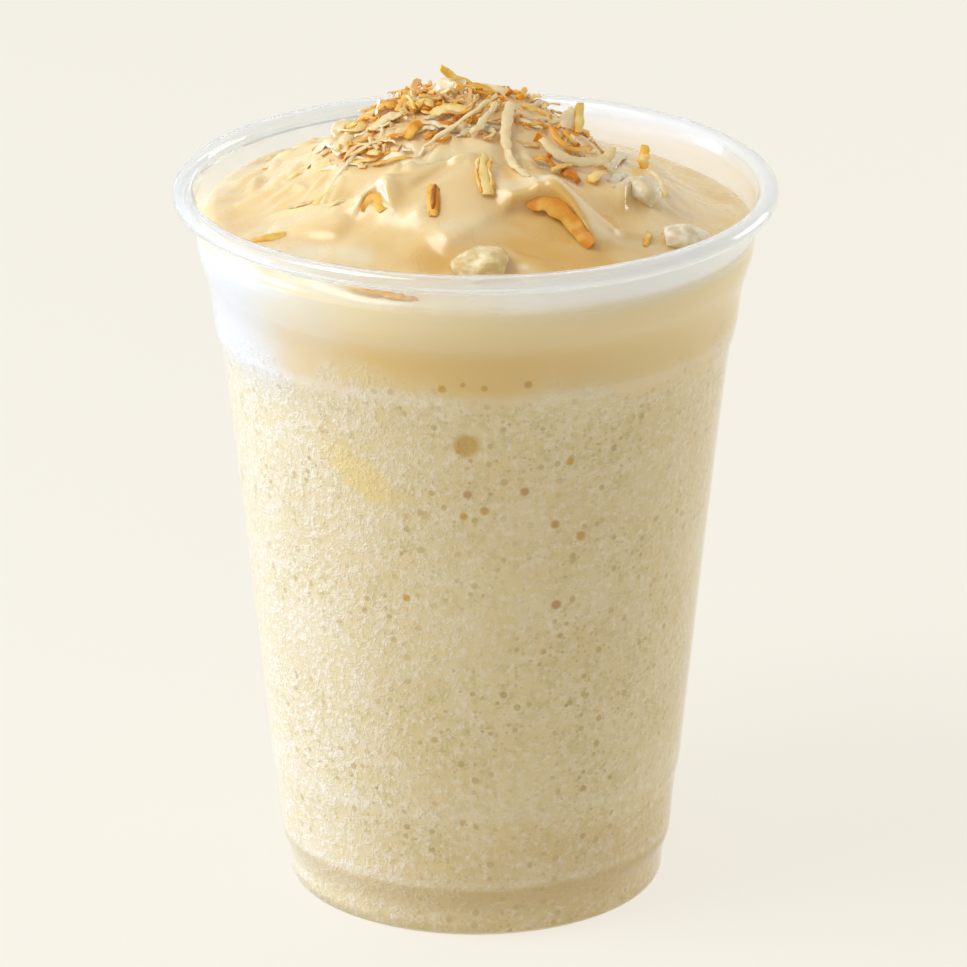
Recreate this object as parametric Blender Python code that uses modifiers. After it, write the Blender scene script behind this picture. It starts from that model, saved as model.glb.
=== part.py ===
"""A frozen pina colada in a clear plastic cup with a rolled rim, heaped with toasted coconut shreds.

Run with blender --background --python part.py. The origin is the middle of the cup's foot, +Z is up and
-Y faces the viewer. Lengths below are in millimetres, and MM turns them into Blender's metres.
"""

import math
import random

import bmesh
import bpy
from mathutils import Matrix, Vector, noise

MM = 0.001
SEGMENTS = 48
MERGE = 0.00001

# Cup: a 16 oz cup with a 98 mm rim, 120 mm tall.
RIM_RADIUS = 49.0
CUP_HEIGHT = 120.0
SHEET = 0.5
CURL_RADIUS = 1.6
CURL_TIP_DEG = -115.0
CURL_STEPS = 8

# Outer wall as (height, radius), foot to neck: foot ring, stacking step, tapered body, step and shoulder.
WALL = (
    (1.2, 31.0),
    (5.5, 31.5),
    (7.6, 32.4),
    (16.0, 33.1),
    (21.0, 34.0),
    (56.0, 37.5),
    (90.5, 41.1),
    (96.5, 42.55),
    (102.5, 43.2),
    (109.0, 45.1),
    (116.5, 46.2),
)
FOOT_EDGE_RADIUS = 29.8
FOOT_INNER_RADIUS = 27.2
PUNT_RADIUS = 25.6
PUNT_HEIGHT = 2.6
FLOOR_THICKNESS = 0.7

# Drink: its level at the wall, its rounded shoulder, and the mound in the middle.
GAP = 0.3
LEVEL = 112.5
SHOULDER_RADIUS = 42.0
SHOULDER_HEIGHT = 114.2
SHOULDER_LEAN = 1.4
MOUND_CENTRE = (-1.0, 0.0)
MOUND_HEIGHT = 15.0
MOUND_RADIUS = 30.0
MOUND_POWER = 3.0
SWELL = 0.7
SWELL_LENGTH = 12.0
SWELL_START_RADIUS = 14.0
SWELL_FULL_RADIUS = 27.0
TOP_RING_RADII = (6.0, 11.0, 15.0, 18.0, 20.5, 23.0, 25.5, 28.0, 30.5, 33.0, 36.0, 39.0, 41.5, 43.3)

# Lumps of drink that stand out of the mound: x, y, height, half length, half width, heading in degrees.
LUMPS = (
    (-12.2, -21.0, 2.3, 3.6, 3.0, 60.0),
    (-9.0, -25.2, 1.4, 3.4, 2.4, 10.0),
    (-1.5, -20.0, 1.6, 5.6, 4.0, 20.0),
    (14.5, -20.6, 2.6, 6.2, 3.4, -36.0),
    (-2.5, -29.6, 0.9, 6.5, 2.6, 8.0),
    (-24.0, -19.0, 1.0, 8.0, 4.0, 38.0),
    (21.5, -13.0, 1.6, 4.6, 3.6, 20.0),
    (30.5, -1.0, 1.7, 5.0, 4.0, 60.0),
    (28.0, 12.0, 1.3, 5.5, 4.0, 120.0),
    (8.0, 25.0, 1.4, 8.0, 4.0, 10.0),
    (-14.0, 24.0, 1.2, 6.5, 4.0, -35.0),
    (-28.0, 14.0, 1.2, 6.0, 4.0, 65.0),
)

# Coconut heap: footprint, pile height and how much of the pile is solid core.
HEAP_CENTRE = (-2.0, 1.0)
HEAP_RADIUS_X = 22.5
HEAP_RADIUS_Y = 16.5
HEAP_UNEVEN = 0.3
PILE_HEIGHT = 6.2
CORE_SHARE = 0.55
CORE_EDGE = 0.75
CORE_SEGMENTS = 26
SHRED_SEED = 11
LONG_SHREDS = 28
LONG_LENGTH = (8.0, 17.0)
LONG_WIDTH = (1.0, 1.7)
LONG_STEPS = 4
SHORT_SHREDS = 56
SHORT_LENGTH = (2.6, 6.5)
SHORT_WIDTH = (1.1, 2.2)
SHORT_STEPS = 2
SHRED_THICKNESS = 0.6
SHRED_CLEARANCE = 0.8

# Shreds that stand out in the heap: start, middle and end of each, then its width.
STANDING_SHREDS = (
    ((-6.2, 1.5, 139.7), (-2.4, 1.8, 137.2), (3.0, 1.0, 134.4), 1.3),
    ((0.5, 2.0, 135.4), (4.0, 1.0, 134.6), (7.5, -1.0, 132.0), 1.5),
    ((3.6, -2.0, 134.6), (-3.3, -6.5, 131.9), (-10.5, -11.5, 128.6), 1.4),
    ((4.1, -2.0, 134.6), (6.0, -10.5, 130.8), (10.8, -18.0, 126.6), 2.2),
    ((10.5, -5.0, 130.0), (15.5, -15.0, 125.6), (21.8, -8.0, 127.2), 1.8),
    ((-15.0, 6.0, 129.4), (-22.0, -1.5, 125.2), (-29.5, -7.5, 122.2), 1.7),
    ((15.0, 1.0, 128.2), (16.5, 0.5, 130.4), (17.6, 0.0, 132.6), 1.5),
    ((-7.0, 3.0, 131.0), (-4.0, 4.0, 134.6), (-1.5, 5.0, 136.8), 2.6),
    ((1.9, -12.0, 129.2), (1.8, -16.5, 127.9), (1.4, -21.0, 126.0), 2.0),
)

# Shreds lying on the drink outside the heap: x, y, heading in degrees, length and width.
LOOSE_SHREDS = (
    (14.2, -23.4, -35.0, 9.0, 3.0),
    (-6.9, -22.0, 85.0, 4.4, 1.9),
    (-22.0, -16.5, 40.0, 7.5, 2.0),
    (-33.8, -20.6, 12.0, 6.5, 1.6),
    (-13.2, -39.4, -3.0, 6.0, 1.5),
    (31.3, -21.8, 70.0, 3.6, 1.5),
    (-31.5, 0.2, 20.0, 4.5, 1.4),
    (-35.5, 9.1, 15.0, 3.5, 1.3),
    (27.4, 7.6, 95.0, 4.5, 1.5),
    (9.0, 29.0, 20.0, 9.0, 1.8),
    (-17.0, 27.0, -30.0, 8.0, 1.7),
    (23.0, 24.0, 50.0, 7.0, 1.6),
    (-33.0, 17.0, 70.0, 6.0, 1.6),
)
LOOSE_STEPS = 3
LOOSE_SINK = 0.1

# Chunks of ice at the surface: name, x, y, turn in degrees, size, and height of the middle over the drink.
ICE_CHUNKS = (
    ("ice_chunk_front", 0.8, -35.6, 10.0, (9.4, 7.0, 5.2), 0.6),
    ("ice_chunk_right", 33.2, -17.0, 20.0, (8.0, 5.6, 4.6), 0.6),
    ("ice_chunk_side", 26.6, -8.6, -30.0, (6.2, 5.2, 5.0), 0.8),
    ("ice_chunk_back", -20.5, 33.5, 25.0, (7.0, 6.2, 4.4), 0.5),
)
ICE_SEED = 5
ICE_JITTER = 0.45

COLOURS = {
    "cup": ((0.90, 0.93, 0.92), 0.08),
    "drink": ((0.86, 0.70, 0.42), 0.35),
    "coconut": ((0.87, 0.66, 0.36), 0.6),
    "ice": ((0.88, 0.86, 0.76), 0.15),
}


def clear_scene():
    for obj in list(bpy.data.objects):
        bpy.data.objects.remove(obj)


def make_material(name):
    colour, roughness = COLOURS[name]
    material = bpy.data.materials.new(name)
    material.use_nodes = True
    shader = material.node_tree.nodes["Principled BSDF"]
    shader.inputs["Base Color"].default_value = (*colour, 1.0)
    shader.inputs["Roughness"].default_value = roughness
    shader.inputs["Metallic"].default_value = 0.0
    return material


def add_object(name, mesh, collection, material=None):
    obj = bpy.data.objects.new(name, mesh)
    collection.objects.link(obj)
    if material:
        obj.data.materials.append(material)
    return obj


def applied(obj):
    """Replaces the object's mesh by what its modifiers make of it."""
    bpy.context.view_layer.update()
    graph = bpy.context.evaluated_depsgraph_get()
    mesh = bpy.data.meshes.new_from_object(obj.evaluated_get(graph))
    obj.modifiers.clear()
    obj.data = mesh
    return obj


def smooth_step(low, high, value):
    share = min(max((value - low) / (high - low), 0.0), 1.0)
    return share * share * (3.0 - 2.0 * share)


def turned(name, profile, steps, collection, material):
    """A solid of revolution from (radius, height) points that run down its outer side."""
    mesh = bpy.data.meshes.new(name)
    points = [(radius * MM, 0.0, height * MM) for radius, height in profile]
    mesh.from_pydata(points, [(i, i + 1) for i in range(len(points) - 1)], [])
    obj = add_object(name, mesh, collection, material)
    screw = obj.modifiers.new("turn", "SCREW")
    screw.steps = screw.render_steps = steps
    screw.use_merge_vertices = True
    screw.merge_threshold = MERGE
    screw.use_normal_calculate = True
    return obj


def curl_arc(radius, start_deg, end_deg):
    """Points on the rim curl, about the middle of its tube."""
    middle_r, middle_z = RIM_RADIUS - CURL_RADIUS, CUP_HEIGHT - CURL_RADIUS
    arc = []
    for i in range(CURL_STEPS + 1):
        angle = math.radians(start_deg + (end_deg - start_deg) * i / CURL_STEPS)
        arc.append((middle_r + radius * math.cos(angle), middle_z + radius * math.sin(angle)))
    return arc


def inner_floor():
    """Top of the cup's floor, from the axis outward: raised middle, then the trough over the foot ring."""
    return [
        (0.0, PUNT_HEIGHT + FLOOR_THICKNESS),
        (PUNT_RADIUS + SHEET, PUNT_HEIGHT + FLOOR_THICKNESS),
        (FOOT_INNER_RADIUS + SHEET, FLOOR_THICKNESS),
        (FOOT_EDGE_RADIUS - SHEET, FLOOR_THICKNESS),
    ]


def cup_profile():
    """Inside of the floor and wall, over the rolled rim, down the outside and under the foot."""
    inside = [(radius - SHEET, height) for height, radius in WALL]
    inside[0] = (WALL[0][1] - SHEET, WALL[0][0] + FLOOR_THICKNESS)
    outside = [(radius, height) for height, radius in reversed(WALL)]
    underside = [
        (FOOT_EDGE_RADIUS, 0.0),
        (FOOT_INNER_RADIUS, 0.0),
        (PUNT_RADIUS, PUNT_HEIGHT),
        (0.0, PUNT_HEIGHT),
    ]
    return (
        inner_floor()
        + inside
        + curl_arc(CURL_RADIUS, 180.0, CURL_TIP_DEG)
        + curl_arc(CURL_RADIUS - SHEET, CURL_TIP_DEG, 180.0)
        + outside
        + underside
    )


def wall_radius(height):
    """Outer radius of the cup's wall at a height."""
    for (low, low_radius), (high, high_radius) in zip(WALL, WALL[1:]):
        if height <= high:
            return low_radius + (high_radius - low_radius) * (height - low) / (high - low)
    return WALL[-1][1]


def drink_edge_radius(height):
    return wall_radius(height) - SHEET - GAP


def lump_height(x, y):
    """What the lumps of drink add at a point."""
    height = 0.0
    for lump_x, lump_y, rise, half_length, half_width, heading in LUMPS:
        turn = math.radians(heading)
        along = (x - lump_x) * math.cos(turn) + (y - lump_y) * math.sin(turn)
        across = (y - lump_y) * math.cos(turn) - (x - lump_x) * math.sin(turn)
        height += rise * math.exp(-((along / half_length) ** 2) - (across / half_width) ** 2)
    return height


def drink_top(x, y):
    """Height of the drink's surface: a lumpy mound and a shoulder that rolls down to the wall."""
    radius = math.hypot(x, y)
    off_centre = math.hypot(x - MOUND_CENTRE[0], y - MOUND_CENTRE[1])
    height = SHOULDER_HEIGHT - SHOULDER_LEAN * x / RIM_RADIUS
    height += MOUND_HEIGHT * math.exp(-((off_centre / MOUND_RADIUS) ** MOUND_POWER))
    swell = noise.noise(Vector((x, y, 3.0)) / SWELL_LENGTH)
    height += SWELL * swell * smooth_step(SWELL_START_RADIUS, SWELL_FULL_RADIUS, radius)
    height += lump_height(x, y)
    edge = drink_edge_radius(LEVEL)
    if radius > SHOULDER_RADIUS:
        share = min((radius - SHOULDER_RADIUS) / (edge - SHOULDER_RADIUS), 1.0)
        height = LEVEL + (height - LEVEL) * math.sqrt(1.0 - share * share)
    return height


def surface_normal(x, y):
    step = 0.5
    slope_x = (drink_top(x + step, y) - drink_top(x - step, y)) / (2.0 * step)
    slope_y = (drink_top(x, y + step) - drink_top(x, y - step)) / (2.0 * step)
    return Vector((-slope_x, -slope_y, 1.0)).normalized()


def drink_profile():
    side = [(radius - SHEET - GAP, height) for height, radius in reversed(WALL) if height < LEVEL]
    side[-1] = (WALL[0][1] - SHEET - GAP, WALL[0][0] + FLOOR_THICKNESS + GAP)
    floor = [(radius - GAP if radius > 0.0 else 0.0, height + GAP) for radius, height in inner_floor()]
    floor[1] = (floor[1][0] + 2.0 * GAP, floor[1][1])
    floor[2] = (floor[2][0] + 2.0 * GAP, floor[2][1])
    top = [(radius, LEVEL + 1.0) for radius in (0.0, *TOP_RING_RADII)]
    return top + [(drink_edge_radius(LEVEL), LEVEL)] + side + list(reversed(floor))


def make_drink(collection, material):
    drink = applied(turned("drink", drink_profile(), SEGMENTS, collection, material))
    for vertex in drink.data.vertices:
        x, y, z = vertex.co / MM
        if z > LEVEL + 0.5:
            vertex.co.z = drink_top(x, y) * MM
    return drink


def bend(start, middle, end, share):
    """A point on the smooth curve that passes through three points."""
    first = start.lerp(middle, 2.0 * share)
    last = middle.lerp(end, 2.0 * share - 1.0)
    return first.lerp(last, share)


def strip_mesh(name, centres, normals, width, taper):
    """A thin strip along its centre points: a grid bent to the path, which Solidify makes a solid."""
    steps = len(centres) - 1
    mesh = bpy.data.meshes.new(name)
    grid = bmesh.new()
    bmesh.ops.create_grid(grid, x_segments=steps, y_segments=1, size=0.5)
    for vertex in grid.verts:
        station = round((vertex.co.x + 0.5) * steps)
        ahead = centres[min(station + 1, steps)] - centres[max(station - 1, 0)]
        side = normals[station].cross(ahead).normalized()
        end_share = abs(2.0 * station / steps - 1.0)
        half = 0.5 * width * (1.0 - taper * end_share * end_share)
        vertex.co = (centres[station] + side * half * (1.0 if vertex.co.y > 0.0 else -1.0)) * MM
    grid.to_mesh(mesh)
    grid.free()
    return mesh


def add_strip(name, centres, normals, width, collection, material, taper=0.4):
    strip = add_object(name, strip_mesh(name, centres, normals, width, taper), collection, material)
    solid = strip.modifiers.new("thickness", "SOLIDIFY")
    solid.thickness = SHRED_THICKNESS * MM
    solid.offset = 0.0
    return strip


def heap_share(x, y):
    """0 in the middle of the coconut heap and 1 at its edge."""
    return math.hypot((x - HEAP_CENTRE[0]) / HEAP_RADIUS_X, (y - HEAP_CENTRE[1]) / HEAP_RADIUS_Y)


def pile(x, y):
    """Thickness of the coconut over the drink, uneven from place to place."""
    share = min(heap_share(x, y), 1.0)
    uneven = 1.0 + HEAP_UNEVEN * noise.noise(Vector((x, y, 8.0)) / 6.0)
    return PILE_HEIGHT * (1.0 - share * share) * uneven


def lifted(point, clearance):
    """The point, raised where it would touch the drink."""
    lowest = drink_top(point.x, point.y) + clearance
    return Vector((point.x, point.y, max(point.z, lowest)))


def make_heap_core(collection, material):
    """A cap that follows the mound a gap above it, thickest in the middle."""
    rings = (0.25, 0.45, 0.62, 0.78, 0.92)
    over = [(share * HEAP_RADIUS_X, 2.0) for share in (0.0, *rings)]
    under = [(share * HEAP_RADIUS_X, 1.0) for share in (*reversed(rings), 0.0)]
    core = applied(turned("coconut_heap", over + under, CORE_SEGMENTS, collection, material))
    for vertex in core.data.vertices:
        x, y, side = vertex.co / MM
        x, y = x + HEAP_CENTRE[0], y * HEAP_RADIUS_Y / HEAP_RADIUS_X + HEAP_CENTRE[1]
        height = drink_top(x, y) + GAP + 0.1
        if side > 1.5:
            height += CORE_EDGE + CORE_SHARE * pile(x, y)
        vertex.co = Vector((x, y, height)) * MM
    return core


def random_shred(rng, reach, length_range, steps):
    """Centre points and normal of one shred that lies somewhere on the heap, out to a share of its radius."""
    share = reach * math.sqrt(rng.random())
    turn = rng.uniform(0.0, math.tau)
    x = HEAP_CENTRE[0] + share * HEAP_RADIUS_X * math.cos(turn)
    y = HEAP_CENTRE[1] + share * HEAP_RADIUS_Y * math.sin(turn)
    heading = rng.uniform(0.0, math.tau)
    length = rng.uniform(*length_range)
    bow = rng.uniform(-0.9, 0.9)
    pitch = rng.gauss(0.0, 0.16)
    sag = rng.uniform(0.02, 0.12) * length
    level = drink_top(x, y) + GAP + CORE_EDGE + pile(x, y) * rng.uniform(0.35, 1.0)
    normal = (surface_normal(x, y) + Vector((rng.gauss(0, 0.3), rng.gauss(0, 0.3), 0.0))).normalized()
    centres = []
    for i in range(steps + 1):
        along = i / steps - 0.5
        direction = heading + bow * along
        px = x + length * along * math.cos(direction)
        py = y + length * along * math.sin(direction)
        slope = drink_top(px, py) - drink_top(x, y)
        pz = level + 0.8 * slope + pitch * length * along - sag * 4.0 * along * along
        centres.append(lifted(Vector((px, py, pz)), SHRED_CLEARANCE))
    return centres, [normal] * len(centres)


def make_heap(collection, material):
    heap = make_heap_core(collection, material)
    shreds = bpy.data.collections.new("heap_shreds")
    bpy.context.scene.collection.children.link(shreds)
    rng = random.Random(SHRED_SEED)
    kinds = [(0.9, LONG_LENGTH, LONG_WIDTH, LONG_STEPS)] * LONG_SHREDS
    kinds += [(1.0, SHORT_LENGTH, SHORT_WIDTH, SHORT_STEPS)] * SHORT_SHREDS
    for i, (reach, length_range, width_range, steps) in enumerate(kinds):
        centres, normals = random_shred(rng, reach, length_range, steps)
        add_strip(f"heap_shred_{i:03d}", centres, normals, rng.uniform(*width_range), shreds, material)
    for i, (start, middle, end, width) in enumerate(STANDING_SHREDS):
        ends = [Vector(p) for p in (start, middle, end)]
        centres = [
            lifted(bend(*ends, k / LONG_STEPS), SHRED_CLEARANCE + GAP) for k in range(LONG_STEPS + 1)
        ]
        normals = [Vector((0.15, -0.55, 0.8)).normalized()] * len(centres)
        add_strip(f"standing_shred_{i}", centres, normals, width, shreds, material, 0.3)
    return join(heap, shreds)


def make_loose_shreds(material):
    shreds = bpy.data.collections.new("loose_shreds")
    bpy.context.scene.collection.children.link(shreds)
    for i, (x, y, heading, length, width) in enumerate(LOOSE_SHREDS):
        turn = math.radians(heading)
        centres = []
        normals = []
        for k in range(LOOSE_STEPS + 1):
            along = length * (k / LOOSE_STEPS - 0.5)
            px, py = x + along * math.cos(turn), y + along * math.sin(turn)
            normals.append(surface_normal(px, py))
            lift = 0.5 * SHRED_THICKNESS - LOOSE_SINK - 0.2
            centres.append(Vector((px, py, drink_top(px, py) + lift)))
        add_strip(f"loose_shred_{i}", centres, normals, width, shreds, material)
    return shreds


def join(body, pieces):
    """Fuses the collection's solids to the body, drops scraps that touch nothing, and removes the collection."""
    union = body.modifiers.new("fuse", "BOOLEAN")
    union.operation = "UNION"
    union.operand_type = "COLLECTION"
    union.collection = pieces
    union.solver = "EXACT"
    union.use_self = True
    applied(body)
    for piece in list(pieces.objects):
        bpy.data.objects.remove(piece)
    bpy.data.collections.remove(pieces)
    keep_largest_piece(body.data)
    return body


def keep_largest_piece(mesh):
    work = bmesh.new()
    work.from_mesh(mesh)
    unseen = set(work.verts)
    groups = []
    while unseen:
        group = {unseen.pop()}
        edge_of_group = list(group)
        while edge_of_group:
            vertex = edge_of_group.pop()
            for edge in vertex.link_edges:
                other = edge.other_vert(vertex)
                if other in unseen:
                    unseen.remove(other)
                    group.add(other)
                    edge_of_group.append(other)
        groups.append(group)
    largest = max(groups, key=len)
    scraps = [vertex for group in groups if group is not largest for vertex in group]
    bmesh.ops.delete(work, geom=scraps, context="VERTS")
    work.to_mesh(mesh)
    work.free()


def ice_mesh(name, size, rng):
    """A rounded block with uneven faces."""
    mesh = bpy.data.meshes.new(name)
    block = bmesh.new()
    bmesh.ops.create_cube(block, size=1.0)
    bmesh.ops.subdivide_edges(block, edges=block.edges[:], cuts=1, use_grid_fill=True)
    for vertex in block.verts:
        reach = vertex.co.length
        vertex.co *= 0.5 / reach * (0.62 + 0.38 * reach / 0.5)
        shift = [rng.uniform(-ICE_JITTER, ICE_JITTER) for _ in range(3)]
        vertex.co = Vector(c * s + d for c, s, d in zip(vertex.co, size, shift)) * MM
    block.to_mesh(mesh)
    block.free()
    return mesh


def make_ice(collection, cutters, drink, material):
    """Each chunk lies half sunk in the drink, in a pocket that is one gap larger."""
    rng = random.Random(ICE_SEED)
    for name, x, y, turn, size, lift in ICE_CHUNKS:
        chunk = add_object(name, ice_mesh(name, size, rng), collection, material)
        place = Vector((x, y, drink_top(x, y) + lift)) * MM
        chunk.matrix_world = Matrix.Translation(place) @ Matrix.Rotation(math.radians(turn), 4, "Z")
        pocket = add_object(name + "_pocket", chunk.data.copy(), cutters)
        grown = [1.0 + 2.6 * GAP / side for side in size]
        for vertex in pocket.data.vertices:
            vertex.co = Vector(c * g for c, g in zip(vertex.co, grown))
        pocket.matrix_world = chunk.matrix_world
        pocket.hide_render = True
        pocket.display_type = "WIRE"
        cut = drink.modifiers.new(name, "BOOLEAN")
        cut.operation = "DIFFERENCE"
        cut.object = pocket
        cut.solver = "EXACT"


def main():
    clear_scene()
    pieces = bpy.data.collections.new("pina_colada")
    cutters = bpy.data.collections.new("cutters")
    for collection in (pieces, cutters):
        bpy.context.scene.collection.children.link(collection)
    materials = {name: make_material(name) for name in COLOURS}
    cup = turned("cup", cup_profile(), SEGMENTS, pieces, materials["cup"])
    drink = make_drink(pieces, materials["drink"])
    join(drink, make_loose_shreds(materials["coconut"]))
    make_ice(pieces, cutters, drink, materials["ice"])
    heap = make_heap(pieces, materials["coconut"])
    for obj in (cup, drink, heap):
        obj.data.shade_smooth()


main()
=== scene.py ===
"""Looks of a frozen pina colada in a clear plastic cup, heaped with toasted coconut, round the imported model.

Lengths are in millimetres, as in the part's own source, and MM turns them into metres.
"""

import functools
import math
import random

import bmesh
import bpy
import numpy as np
from mathutils import Euler, Matrix, Vector, noise


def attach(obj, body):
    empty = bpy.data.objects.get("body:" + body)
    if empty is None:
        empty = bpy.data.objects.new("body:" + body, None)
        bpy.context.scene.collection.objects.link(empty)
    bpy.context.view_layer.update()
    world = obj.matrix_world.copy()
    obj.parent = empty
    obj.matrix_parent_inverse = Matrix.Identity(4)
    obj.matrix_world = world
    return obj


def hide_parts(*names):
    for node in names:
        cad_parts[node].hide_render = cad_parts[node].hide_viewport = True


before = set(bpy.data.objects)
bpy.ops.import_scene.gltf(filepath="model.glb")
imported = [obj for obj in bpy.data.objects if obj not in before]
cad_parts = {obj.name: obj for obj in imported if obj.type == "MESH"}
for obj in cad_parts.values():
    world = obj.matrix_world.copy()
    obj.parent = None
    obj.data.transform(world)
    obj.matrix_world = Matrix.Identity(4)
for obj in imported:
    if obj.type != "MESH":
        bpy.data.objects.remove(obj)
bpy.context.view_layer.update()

MM = 0.001

# Camera, as fitted to the rim and the foot in the photo.
CAMERA_DISTANCE = 1150
CAMERA_ELEVATION = math.radians(20.71)
CAMERA_TARGET = Vector((1.24, 0, 67.53))
CAMERA_LENS = 260.6
CAMERA_SENSOR = 36
CAMERA_FAR_METRES = 100

# Floor: its reach to each side, its colour, and the glow that keeps it pale.
FLOOR_REACH_METRES = 40
FLOOR_COLOUR = (0.17, 0.163, 0.146)
FLOOR_GLOW = (0.93, 0.896, 0.80)
FLOOR_GLOW_STRENGTH = 0.82

# Surroundings: colour, and brightness as seen and mirrored, and as light on the object.
SKY_COLOUR = (0.95, 0.945, 0.93)
SKY_SEEN = 0.95
SKY_LIGHT = 0.42

# Lamps: name, place, what it points at, width and height, power in watts, colour.
LAMPS = (
    ("side", (-900, 160, 70), (0, 0, 56), (700, 130), 6, (0.75, 1, 1.75)),
    ("key", (-520, -220, 820), (0, 0, 110), (500, 500), 5, (1, 1, 1)),
    ("fill", (850, 560, 220), (0, 0, 70), (500, 340), 2.7, (1, 1, 1)),
)

# Cup: rim, height, sheet and the curl of its rim.
RIM_RADIUS = 48.99
CUP_HEIGHT = 120
SHEET = 0.45
CURL_RADIUS = 1.6
CURL_TIP_DEG = -115
CURL_STEPS = 36
CUP_SEGMENTS = 288
CUP_SHARP_DEG = 55

# Outer wall from the foot to the neck, as (height, radius).
WALL = (
    (0.9, 31), (3.1, 31.2), (5.5, 31.6), (7.3, 32.3), (8.7, 32.5), (13.6, 32.86), (17.8, 33.3), (19.7, 33.8),
    (21.3, 34.04), (55, 37.35), (79.7, 39.9), (90.3, 41.1), (92.4, 41.4), (94.4, 41.9), (96, 42.4),
    (98.9, 42.85), (102.3, 43.2), (103.6, 43.45), (104.8, 43.75), (106.8, 44.4), (108.1, 44.8), (110, 45.2),
    (113, 45.4), (117.4, 45.8),
)
WALL_BLUR = 0.55

# Rows of the wall lie further apart where it has no steps.
ROW_SPACING = 0.6
PLAIN_ROW_SPACING = 2.4
PLAIN_WALL = (23, 88)

# How milky the plastic looks, from 0 to 1; the milk also stands for painted highlights and sheen. Rings at the
# wall's steps, as painted highlights: height, half width, strength.
STEP_HIGHLIGHT_RINGS = (
    (97.2, 2.1, 0.15),
    (106.9, 1.8, 0.06),
    (92.4, 0.9, 0.02),
    (22.6, 2.2, 0.08),
    (9.9, 0.9, 0.11),
)
# The neck's ring is (height, half width), a band of painted sheen. It, the rim and the curl's foot are milkier
# from left to right, as (left, right), as a painted sheen on the right side, and the curl's foot also from
# front to back.
NECK_RING = (115.6, 5.5)
SHEEN_LEFT_TO_RIGHT = (-20, 36)
NECK_SHEEN = (0.03, 0.9)
RIM_MILK_AND_SHEEN = (0.10, 0.28)
RIM_MILK_RISES = (116.2, 118.5)
CURL_FOOT = 117.3
CURL_FOOT_MILK_AND_SHEEN = (0.16, 0.45)
CURL_FOOT_MILK_BEHIND = 0.6
FRONT_TO_BACK = (-10, 10)
PLASTIC_TINT = (0.968, 0.985, 0.996)
MILK_AND_SHEEN_TINT = (0.985, 0.98, 0.95)
FOOT_CORNER = (30.75, 0.3)
FOOT_EDGE_RADIUS = 30.2
FOOT_INNER_RADIUS = 27.2
PUNT_RADIUS = 25.6
PUNT_HEIGHT = 2.6
FLOOR_THICKNESS = 0.7
FLOOR_EDGE_RISE = 0.4

# Drink: level at the wall, shoulder and mound, as in the solid.
LEVEL = 112.5
SHOULDER_RADIUS = 42
SHOULDER_HEIGHT = 114.2
SHOULDER_LEAN = 1.4
MOUND_CENTRE = (-1, 0)
MOUND_HEIGHT = 15
MOUND_RADIUS = 30
MOUND_POWER = 3
SWELL = 0.7
SWELL_LENGTH = 12
SWELL_RISES = (14, 27)
WALL_BITE = 0.2
DRINK_FOOT = 0.6
DRINK_SEGMENTS = 480
TOP_RINGS = 130
RING_CROWDING = 0.86
SIDE_ROWS = 64

# Relief of the surface: soft ripples and finer unevenness, which fade out towards the wall.
RIPPLE_RISE = 0.45
RIPPLE_LENGTH = 7
RIPPLE_SQUEEZE = 1.3
RIPPLE_WARP = 0.9
RIPPLE_WARP_LENGTH = 11
FINE_RISE = 0.08
FINE_LENGTH = 2.4
RELIEF_FADE = (39, 44)

# Lumps of drink that stand out of the mound: x, y, height, half length, half width, heading in degrees.
LUMPS = (
    (-13.6, -20.6, 1.5, 3.8, 3.2, 60),
    (-9.4, -25, 0.8, 2.6, 1.5, 10),
    (-1.5, -20, 1.6, 5.6, 4, 20),
    (14.5, -20.6, 2.6, 6.2, 3.4, -36),
    (-2.5, -29.6, 0.9, 6.5, 2.6, 8),
    (-24, -19, 1, 8, 4, 38),
    (21.5, -13, 1.6, 4.6, 3.6, 20),
    (30.5, -1, 1.7, 5, 4, 60),
    (28, 12, 1.3, 5.5, 4, 120),
    (8, 25, 1.4, 8, 4, 10),
    (-14, 24, 1.2, 6.5, 4, -35),
    (-28, 14, 1.2, 6, 4, 65),
)

# Folds of cream, gentle behind their crest and steep in front of it: crest points, rise, and the
# distance over which each fades behind and in front. In front is to the right of the crest's run.
FOLDS = (
    (((3.4, -24.2), (5.4, -22.6), (8.4, -21.7), (11.9, -21.4), (15.4, -22.6), (18, -24.8), (19.8, -28)),
     2.2, 3.6, 0.6),
    (((-19.8, -22.4), (-18.3, -19.6), (-16.8, -18.6), (-15, -19), (-13.4, -21.6), (-12.6, -24)),
     1.3, 1.5, 0.6),
    (((-6.4, -32.6), (-3.3, -30.4), (-0.9, -28.1), (1.5, -25.6), (5, -22.4)), 0.6, 5.5, 1.6),
    (((22.7, -16.6), (23.4, -11.3), (25.6, -6), (28.4, -6.4), (29.2, -10.6)), 1.3, 2, 0.8),
    (((-12.4, -20.8), (-8.1, -16.6), (-4.4, -14.4), (-0.1, -14), (4.4, -13.4)), 0.8, 2.6, 1.2),
    (((-33.6, -19), (-29, -20.4), (-25, -23), (-20, -25.4)), 0.5, 4, 1.5),
    (((20, -24), (24, -20), (29.6, -18), (35, -15)), 0.7, 3, 1.2),
)
FOLD_END_FADE = 2.5
FOLD_CURL = 0.65
FOLD_STEPS = 5
FOLD_REACH = 2.5

# Coconut heap: footprint, pile height and core, as in the solid.
HEAP_CENTRE = (-2, 1)
HEAP_RADIUS_X = 22.5
HEAP_RADIUS_Y = 16.5
HEAP_UNEVEN = 0.3
PILE_HEIGHT = 6.2
CORE_SHARE = 0.6
BED_RINGS = 64
BED_SEGMENTS = 200
BED_REACH = 1.12
BED_FADE = (0.98, 1.1)
BED_SINK = 0.25
CRAG_RISE = 0.35
CRAG_LENGTH = 2.2
# From front to back, where the bed's painted shade between the shreds of the toasted top begins and is full.
BED_SHADE_Y = (-12, -2)
SHRED_SHARP_DEG = 60

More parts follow.
